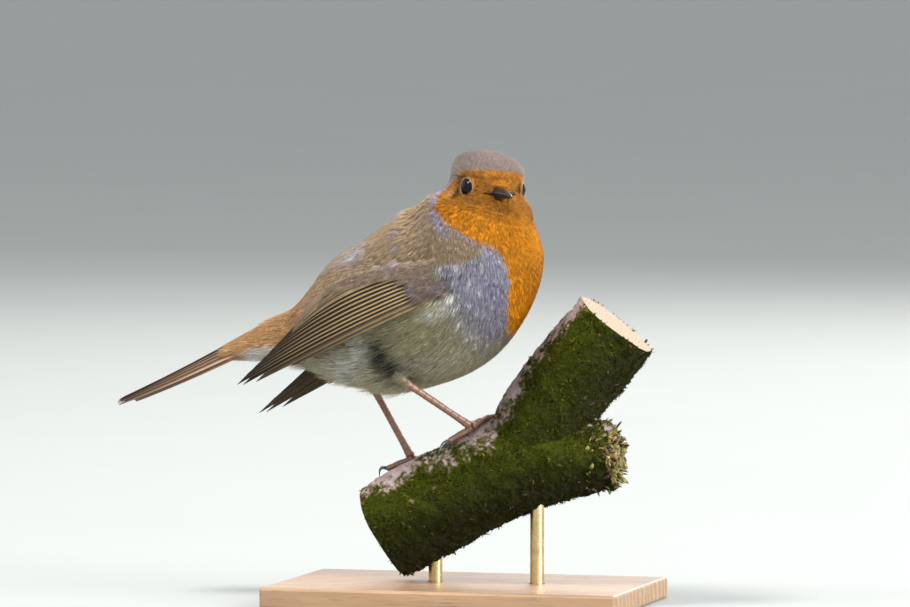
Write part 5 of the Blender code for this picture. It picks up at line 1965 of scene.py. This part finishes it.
def bark_material(perch):
    """Pinkish grey bark, green where moss and algae grow, and nearly black below as painted shade.
    """
    material, nodes, shader = new_material("robin_mossy_bark", 0.92, Specular_IOR_Level=0.06)
    moss, under, patches = nodes.attribute("bark_marks")
    place = nodes.place()
    broad = nodes.noise(place, 180.0, 4.0)
    fine = nodes.noise(place, 1300.0, 5.0, 0.65)
    flakes = nodes.add("ShaderNodeTexVoronoi", {"Vector": place, "Scale": 620.0})
    bark = nodes.mottled(broad, 0.35, 0.65, perch.bark, 0.72, 1.15)
    bark = nodes.mix(nodes.scale_range(fine, 0.3, 0.6), rgba(perch.bark, 0.5), bark)
    bark = nodes.mix(nodes.times(patches, 0.55), bark, (0.27, 0.145, 0.09, 1.0))
    green = nodes.mottled(fine, 0.36, 0.64, perch.moss, 0.15, 1.9)
    green = nodes.mix(nodes.scale_range(broad, 0.4, 0.65, 0.0, 0.7), green,
                      (0.038, 0.050, 0.002, 1.0))
    cover = nodes.plus(moss, nodes.times(nodes.math("SUBTRACT", fine, 0.5), 0.9))
    film = nodes.mix(nodes.scale_range(fine, 0.35, 0.65), (0.060, 0.050, 0.022, 1.0),
                     (0.26, 0.20, 0.12, 1.0))
    colour = nodes.mix(nodes.scale_range(cover, -0.05, 0.40), bark, film)
    colour = nodes.mix(nodes.scale_range(cover, 0.25, 0.75), colour, green)
    # Painted shade: the underside goes nearly black.
    colour = nodes.mix(nodes.times(under, 0.9), colour, (0.013, 0.012, 0.005, 1.0))
    rim = nodes.scale_range(flakes.outputs["Distance"], 0.0, 0.5)
    height = nodes.plus(nodes.times(fine, 0.9), nodes.times(rim, 0.35))
    nodes.dress(shader, Base_Color=colour, Normal=nodes.bump(height, 0.0010, 0.9))
    return material


def cut_material(perch, name, centre, axis_turn):
    """Sawn wood with rings about the limb's middle."""
    material, nodes, shader = new_material(name, 0.75)
    place = nodes.place()
    moved = nodes.add("ShaderNodeMapping", {"Vector": place, "Location": [c * MM for c in centre],
                                            "Rotation": (0.0, axis_turn, 0.0)},
                      vector_type="TEXTURE")
    warp = nodes.noise(place, 160.0, 3.0)
    rings = nodes.add("ShaderNodeTexWave", {"Vector": moved.outputs[0], "Scale": 260.0,
                                            "Distortion": 3.0, "Detail": 3.0, "Detail Scale": 2.0},
                      wave_type="RINGS", rings_direction="X").outputs["Fac"]
    fine = nodes.noise(place, 1500.0, 5.0, 0.7)
    colour = nodes.mix(rings, rgba(perch.heartwood, 0.55), rgba(perch.heartwood))
    colour = nodes.mix(nodes.scale_range(warp, 0.4, 0.7, 0.0, 0.5), colour, rgba(perch.bark, 0.5))
    colour = nodes.mix(nodes.scale_range(fine, 0.3, 0.6, 0.6, 0.0), colour,
                       rgba(perch.heartwood, 0.2))
    height = nodes.plus(nodes.times(rings, 0.3), fine)
    nodes.dress(shader, Base_Color=colour, Normal=nodes.bump(height, 0.0004, 0.6))
    return material


def torn_material():
    """Torn wood: splinters from dark brown to tan, with green in the hollows."""
    material, nodes, shader = new_material("robin_torn_end", 0.9, Specular_IOR_Level=0.08)
    place = nodes.place()
    splinter = nodes.noise(place, 700.0, 5.0, 0.65)
    broad = nodes.noise(place, 300.0, 3.0)
    colour = nodes.mix(nodes.scale_range(splinter, 0.38, 0.64), (0.022, 0.014, 0.006, 1.0),
                       (0.42, 0.29, 0.12, 1.0))
    colour = nodes.mix(nodes.scale_range(broad, 0.45, 0.6, 0.0, 0.75), colour,
                       (0.07, 0.075, 0.010, 1.0))
    nodes.dress(shader, Base_Color=colour, Normal=nodes.bump(splinter, 0.0008, 0.8))
    return material


def moss_material(perch):
    """Moss leaves: dark at the root, yellow green at the tip, duller down the limb's sides as
    painted shade.
    """
    material, nodes, shader = new_material("robin_moss_leaves", 0.85, Specular_IOR_Level=0.04)
    share, own, leaf = nodes.attribute("lock")
    broad = nodes.noise(nodes.place(), 260.0, 3.0)
    under = nodes.attribute("bark_marks")[1]
    colour = nodes.mix(share, rgba(perch.moss, 0.12), rgba(perch.moss, 2.8))
    for factor, over in ((nodes.scale_range(own, 0.6, 1.0, 0.0, 0.8), (0.20, 0.20, 0.025, 1.0)),
                         (nodes.scale_range(broad, 0.45, 0.65, 0.0, 0.6), rgba(perch.moss, 0.35)),
                         # Painted shade on the lower side of the limb.
                         (nodes.times(under, 0.8), (0.014, 0.017, 0.002, 1.0))):
        colour = nodes.mix(factor, colour, over)
    light = nodes.scale_range(leaf, 0.0, 1.0, 0.75, 1.2)
    nodes.dress(shader, Base_Color=nodes.shaded(colour, light))
    return material


def moss_tufts(name, line, twist, relief, count, seed, material, base):
    """Little cushions of moss leaves that stand off the bark where moss grows."""
    rng = np.random.default_rng(seed)
    surface = limb_surface(line, twist, relief)
    step = rng.random(count * 4) * (len(line) - 1.0)
    angle = rng.random(count * 4) * math.tau
    points, ring, tangent = surface(step, angle)
    marks = bark_marks(points, ring)
    moss = marks[..., 0]
    growth = moss * softly(cloud(points, 1.8, 41), -0.5, 0.4)
    keep = np.flatnonzero(growth > 0.15 + 0.75 * rng.random(len(step)))[:count]
    points, ring, tangent, step, angle = (v[keep] for v in (points, ring, tangent, step, angle))
    marks = marks[keep]
    count = len(keep)
    spin = rng.random(count) * math.tau
    side = np.cross(ring, tangent)
    lie = unit(np.cos(spin)[:, None] * tangent + np.sin(spin)[:, None] * side + 0.5 * ring
               + (0.0, 0.0, -0.3))
    seats = seats_at(points - 0.15 * ring, lie, square_to(ring, lie), 0.1)
    parts = []
    owner = rng.random(count)
    size = 0.45 + 0.75 * rng.random(count) ** 2
    zero = np.zeros(count)
    patch = stack(base + 0.45 * angle / math.tau, 0.02 + 0.9 * step / len(line))
    for _ in range(6):
        reach = size * (0.7 + 0.6 * rng.random(count))
        made = blades(seats, reach, 0.22 + 0.12 * rng.random(count), zero + 0.07, BARB,
                      (zero, 0.55 * reach * rng.random(count)),
                      2.6 * (rng.random(count) - 0.5), zero, 0.4 * rng.standard_normal(count))
        parts.append((*made, owner, rng.random(count), patch))
    made, faces, lock, bake = join_blades(parts)
    item = make_piece(name, made, faces, material,
                      {"lock": lock, "bark_marks": per_point(marks, parts)}, {"OFBake": bake})
    return settle(item, "bark")


def bark_flakes(material, relief):
    """Ragged bits of loose bark under both limbs and round the torn end."""
    rng = np.random.default_rng(51)
    parts = []
    for line, twist, count in ((LIMB_LINE, LIMB_TWIST, 380), (RISE_LINE, RISE_TWIST, 150)):
        surface = limb_surface(line, twist, relief)
        step = rng.random(count) * (len(line) - 1.0)
        if line is LIMB_LINE:
            step[:240] = 4.45 + 0.55 * rng.random(240)
        angle = rng.random(count) * math.tau
        points, ring, tangent = surface(step, angle)
        keep = (ring[:, 2] < -0.25) | ((step > 4.5) & (line is LIMB_LINE))
        keep &= ~((line is LIMB_LINE) & (step < 4.3) & (ring[:, 2] > -0.2))
        points, ring, tangent = points[keep], ring[keep], tangent[keep]
        count = len(points)
        lie = unit(tangent + 0.5 * rng.standard_normal((count, 3)) + 0.35 * ring)
        seats = seats_at(points - 0.1 * ring, lie, square_to(ring, lie), -0.05)
        zero = np.zeros(count)
        late = softly(step[keep], 4.3, 4.5) * (line is LIMB_LINE)
        inner = np.where(late > 0.5, np.clip(1.6 * rng.random(count), 0.25, 1.0), 1.0)
        if line is LIMB_LINE:
            end, _, end_tangent = surface(np.full(count, 5.0), angle[keep])
            middle = end.mean(axis=0)
            inside = (inner < 1.0)[:, None]
            seats["root"] = np.where(inside, middle + inner[:, None] * (end - middle)
                                     + 0.2 * end_tangent, seats["root"])
        pale = late * (rng.random(count) < 0.75)
        made = blades(seats, 0.8 + (1.6 + 1.2 * late) * rng.random(count) ** 2,
                      0.5 + (0.9 + 1.0 * late) * rng.random(count), zero + 0.18, LEAF,
                      (zero - 0.1, zero + 0.25), 0.3 * rng.standard_normal(count), zero,
                      0.3 * rng.standard_normal(count))
        parts.append((*made, rng.random(count), pale,
                      stack(rng.random(count), rng.random(count))))
    made, faces, lock, bake = join_blades(parts)
    item = make_piece("robin_bark_flakes", made, faces, material, {"lock": lock},
                      {"OFBake": bake})
    return settle(item, "bark")


def lichen_material():
    """Loose bark, dark brown below and pale yellow green where lichen covers it."""
    material, nodes, shader = new_material("robin_lichen_flakes", 0.85, Specular_IOR_Level=0.2)
    pale = nodes.attribute("lock")[2]
    grain = nodes.scale_range(nodes.noise(nodes.place(), 1100.0, 4.0), 0.3, 0.7)
    brown = nodes.mix(grain, (0.020, 0.013, 0.007, 1.0), (0.11, 0.065, 0.035, 1.0))
    lichen = nodes.mix(grain, (0.045, 0.045, 0.010, 1.0), (0.36, 0.31, 0.12, 1.0))
    nodes.dress(shader, Base_Color=nodes.mix(pale, brown, lichen))
    return material


class GrowBranch(bpy.types.Operator):
    """Grow the branch: bark of both limbs, cut and torn ends, flakes and moss"""
    bl_idname = "robin.grow_branch"
    bl_label = "Grow the branch"

    def execute(self, context):
        perch = context.scene.robin_perch
        relief = perch.bark_relief / MM
        bark = bark_material(perch)
        low_cut = cut_material(perch, "robin_sawn_low_end", LIMB_LINE[0][:3], -0.5)
        top_cut = cut_material(perch, "robin_sawn_top_end", RISE_LINE[-1][:3], -0.88)
        limbs = (("limb", LIMB_LINE, LIMB_TWIST, (5.0, 220, 190, True),
                  [bark, low_cut, torn_material()]),
                 ("rise", RISE_LINE, RISE_TWIST, (4.0, 170, 170, False), [bark, top_cut]))
        for name, line, twist, sizes, finishes in limbs:
            points, faces, marks, which = limb_piece(limb_surface(line, twist, relief), *sizes)
            item = make_solid("robin_branch_" + name, points, faces, finishes,
                              {"bark_marks": marks}, material_of=which)
            settle(item, "bark", "perch_branch")
        moss = moss_material(perch)
        moss_tufts("robin_moss_limb", LIMB_LINE, LIMB_TWIST, relief, 3000, 81, moss, 0.02)
        moss_tufts("robin_moss_rise", RISE_LINE, RISE_TWIST, relief, 2200, 82, moss, 0.52)
        bark_flakes(lichen_material(), relief)
        return {"FINISHED"}


# ---------------------------------------------------------------- stand and stage


def wood_material(perch):
    """Oiled wood with long grain along the base."""
    material, nodes, shader = new_material("robin_stand_wood", 0.42, Coat_Weight=0.15,
                                           Coat_Roughness=0.3)
    place = nodes.place()
    stretched = nodes.drawn_out(place, (0.10, 1.0, 1.0))
    warp = nodes.noise(stretched, 130.0, 4.0)
    rings = nodes.add("ShaderNodeTexWave", {"Vector": stretched, "Scale": 75.0,
                                            "Distortion": 5.0, "Detail": 3.0, "Detail Scale": 1.2},
                      wave_type="BANDS", bands_direction="Y").outputs["Fac"]
    pores = nodes.noise(nodes.drawn_out(place, (0.05, 1.0, 1.0)), 2400.0, 3.0)
    colour = nodes.mix(rings, rgba(perch.stand_wood, 0.62), rgba(perch.stand_wood, 1.1))
    colour = nodes.mix(nodes.scale_range(warp, 0.35, 0.7, 0.0, 0.4), colour,
                       rgba(perch.stand_wood, 0.5))
    colour = nodes.mix(nodes.scale_range(pores, 0.55, 0.75, 0.0, 0.7), colour,
                       rgba(perch.stand_wood, 0.3))
    nodes.dress(shader, Base_Color=colour,
                Roughness=nodes.scale_range(pores, 0.3, 0.7, 0.36, 0.58),
                Normal=nodes.bump(pores, 0.0001, 0.4))
    return material


def brass_material(perch):
    """Brushed brass with faint rings round the rod and a little tarnish."""
    material, nodes, shader = new_material("robin_rod_brass", 0.28, Metallic=1.0)
    place = nodes.place()
    lines = nodes.noise(nodes.drawn_out(place, (0.2, 0.2, 6.0)), 1500.0, 3.0)
    tarnish = nodes.noise(place, 240.0, 3.0)
    colour = nodes.mix(nodes.scale_range(tarnish, 0.4, 0.7, 0.0, 0.6), rgba(perch.brass),
                       rgba(perch.brass, 0.45))
    nodes.dress(shader, Base_Color=colour,
                Roughness=nodes.scale_range(lines, 0.3, 0.7, 0.2, 0.42),
                Normal=nodes.bump(lines, 0.00003, 0.5))
    return material


class FinishStand(bpy.types.Operator):
    """Give the base its wood and the rods their brass"""
    bl_idname = "robin.finish_stand"
    bl_label = "Finish the stand"

    def execute(self, context):
        perch = context.scene.robin_perch
        wood = wood_material(perch)
        brass = brass_material(perch)
        for name, finish in (("stand_base", wood), ("stand_rod_1", brass), ("stand_rod_2", brass)):
            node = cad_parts[name]
            if not node.material_slots:
                node.data.materials.append(finish)
            for held in node.material_slots:
                held.material = finish
        return {"FINISHED"}


VIEW_AZIMUTH = 15.0
VIEW_ELEVATION = 3.0
VIEW_WIDTH = 260.0
LOOK_AT_RIGHT = -2.857
LOOK_AT_UP = 85.6
SENSOR_WIDTH = 36.0
LIGHT_AIM = (0.0, 0.0, 0.085)
LIGHTS = (("key_light", (-0.62, -0.62, 1.60), 0.5, "key_power", 1.0, (1.0, 0.985, 0.95)),
          ("catch_light", (-1.07, -0.66, 1.27), 0.36, "key_power", 0.3, (1.0, 1.0, 1.0)),
          ("fill_light", (1.35, -0.42, 0.50), 1.2, "fill_power", 1.0, (0.94, 0.97, 1.0)),
          ("back_light", (0.2, 1.3, 1.0), 1.2, "fill_power", 0.55, (1.0, 1.0, 1.0)))


def area_light(name, place, size, power, colour):
    """A large soft light at a place, looking at the bird, all in metres."""
    data = bpy.data.lights.new(name, "AREA")
    data.shape = "DISK"
    data.size = size
    data.energy = power
    data.color = colour
    lamp = bpy.data.objects.new(name, data)
    lamp.location = place
    lamp.rotation_euler = (Vector(LIGHT_AIM) - Vector(place)).to_track_quat("-Z", "Y").to_euler()
    bpy.context.scene.collection.objects.link(lamp)


class SetStage(bpy.types.Operator):
    """Set the pale floor, the soft lights and the camera"""
    bl_idname = "robin.set_stage"
    bl_label = "Set the stage"

    def execute(self, context):
        studio = context.scene.robin_studio
        angle = circle(64)
        rim = FLOOR_RADIUS * stack(np.cos(angle), np.sin(angle), 0.0)
        floor_material, nodes, shader = new_material("stage_floor", 0.9)
        tint = nodes.noise(nodes.place(), 6.0)
        nodes.dress(shader, Base_Color=nodes.mottled(tint, 0.3, 0.7, studio.floor, 1.0, 1.03))
        floor = make_piece("stage_floor", rim, [np.arange(64)[None]], floor_material)
        for name, place, size, power, share, colour in LIGHTS:
            area_light(name, place, size, share * getattr(studio, power), colour)
        world = bpy.data.worlds.new("studio_room")
        world.use_nodes = True
        background = world.node_tree.nodes["Background"]
        background.inputs[0].default_value = (0.92, 0.96, 1.0, 1.0)
        background.inputs[1].default_value = studio.room
        context.scene.world = world
        turn, lift = math.radians(VIEW_AZIMUTH), math.radians(VIEW_ELEVATION)
        back = Vector((math.sin(turn) * math.cos(lift), -math.cos(turn) * math.cos(lift),
                       math.sin(lift)))
        right = Vector((math.cos(turn), math.sin(turn), 0.0))
        up = back.cross(right)
        look = (right * LOOK_AT_RIGHT + up * LOOK_AT_UP) * MM
        data = bpy.data.cameras.new("studio_camera")
        data.sensor_width = SENSOR_WIDTH
        data.lens = SENSOR_WIDTH * studio.distance / (VIEW_WIDTH * MM)
        data.clip_start = 0.05
        data.clip_end = 200.0
        camera = bpy.data.objects.new("studio_camera", data)
        camera.matrix_world = Matrix((right, up, back)).transposed().to_4x4()
        camera.location = look + back * studio.distance
        context.scene.collection.objects.link(camera)
        context.scene.camera = camera
        context.scene.view_settings.view_transform = "Standard"
        return {"FINISHED"}


# ---------------------------------------------------------------- panel and running

OPERATORS = (LaySkin, LayCoat, FoldWings, SpreadTail, SetEyes, FitBill, SetLegs, GrowBranch,
             FinishStand, SetStage)


class RobinPanel(bpy.types.Panel):
    """Sizes, colours and steps of the robin"""
    bl_idname = "VIEW3D_PT_robin"
    bl_label = "Robin"
    bl_space_type = "VIEW_3D"
    bl_region_type = "UI"
    bl_category = "Robin"

    def draw(self, context):
        for operator in OPERATORS:
            self.layout.operator(operator.bl_idname)
        for label, group in SETTINGS.items():
            box = self.layout.box()
            for name in group.__annotations__:
                box.prop(getattr(context.scene, label), name)


CLASSES = tuple(SETTINGS.values()) + OPERATORS + (RobinPanel,)


def register():
    """Register the settings, the steps and the panel."""
    for item in CLASSES:
        bpy.utils.register_class(item)
    for label, group in SETTINGS.items():
        setattr(bpy.types.Scene, label, PointerProperty(type=group))


def unregister():
    """Take the panel, the steps and the settings away again."""
    for label in SETTINGS:
        delattr(bpy.types.Scene, label)
    for item in reversed(CLASSES):
        bpy.utils.unregister_class(item)


def main():
    """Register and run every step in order."""
    register()
    for operator in OPERATORS:
        step = getattr(bpy.ops.robin, operator.bl_idname.split(".")[1])
        if step() != {"FINISHED"}:
            raise RuntimeError(operator.bl_label + " did not finish")


if __name__ == "__main__":
    main()
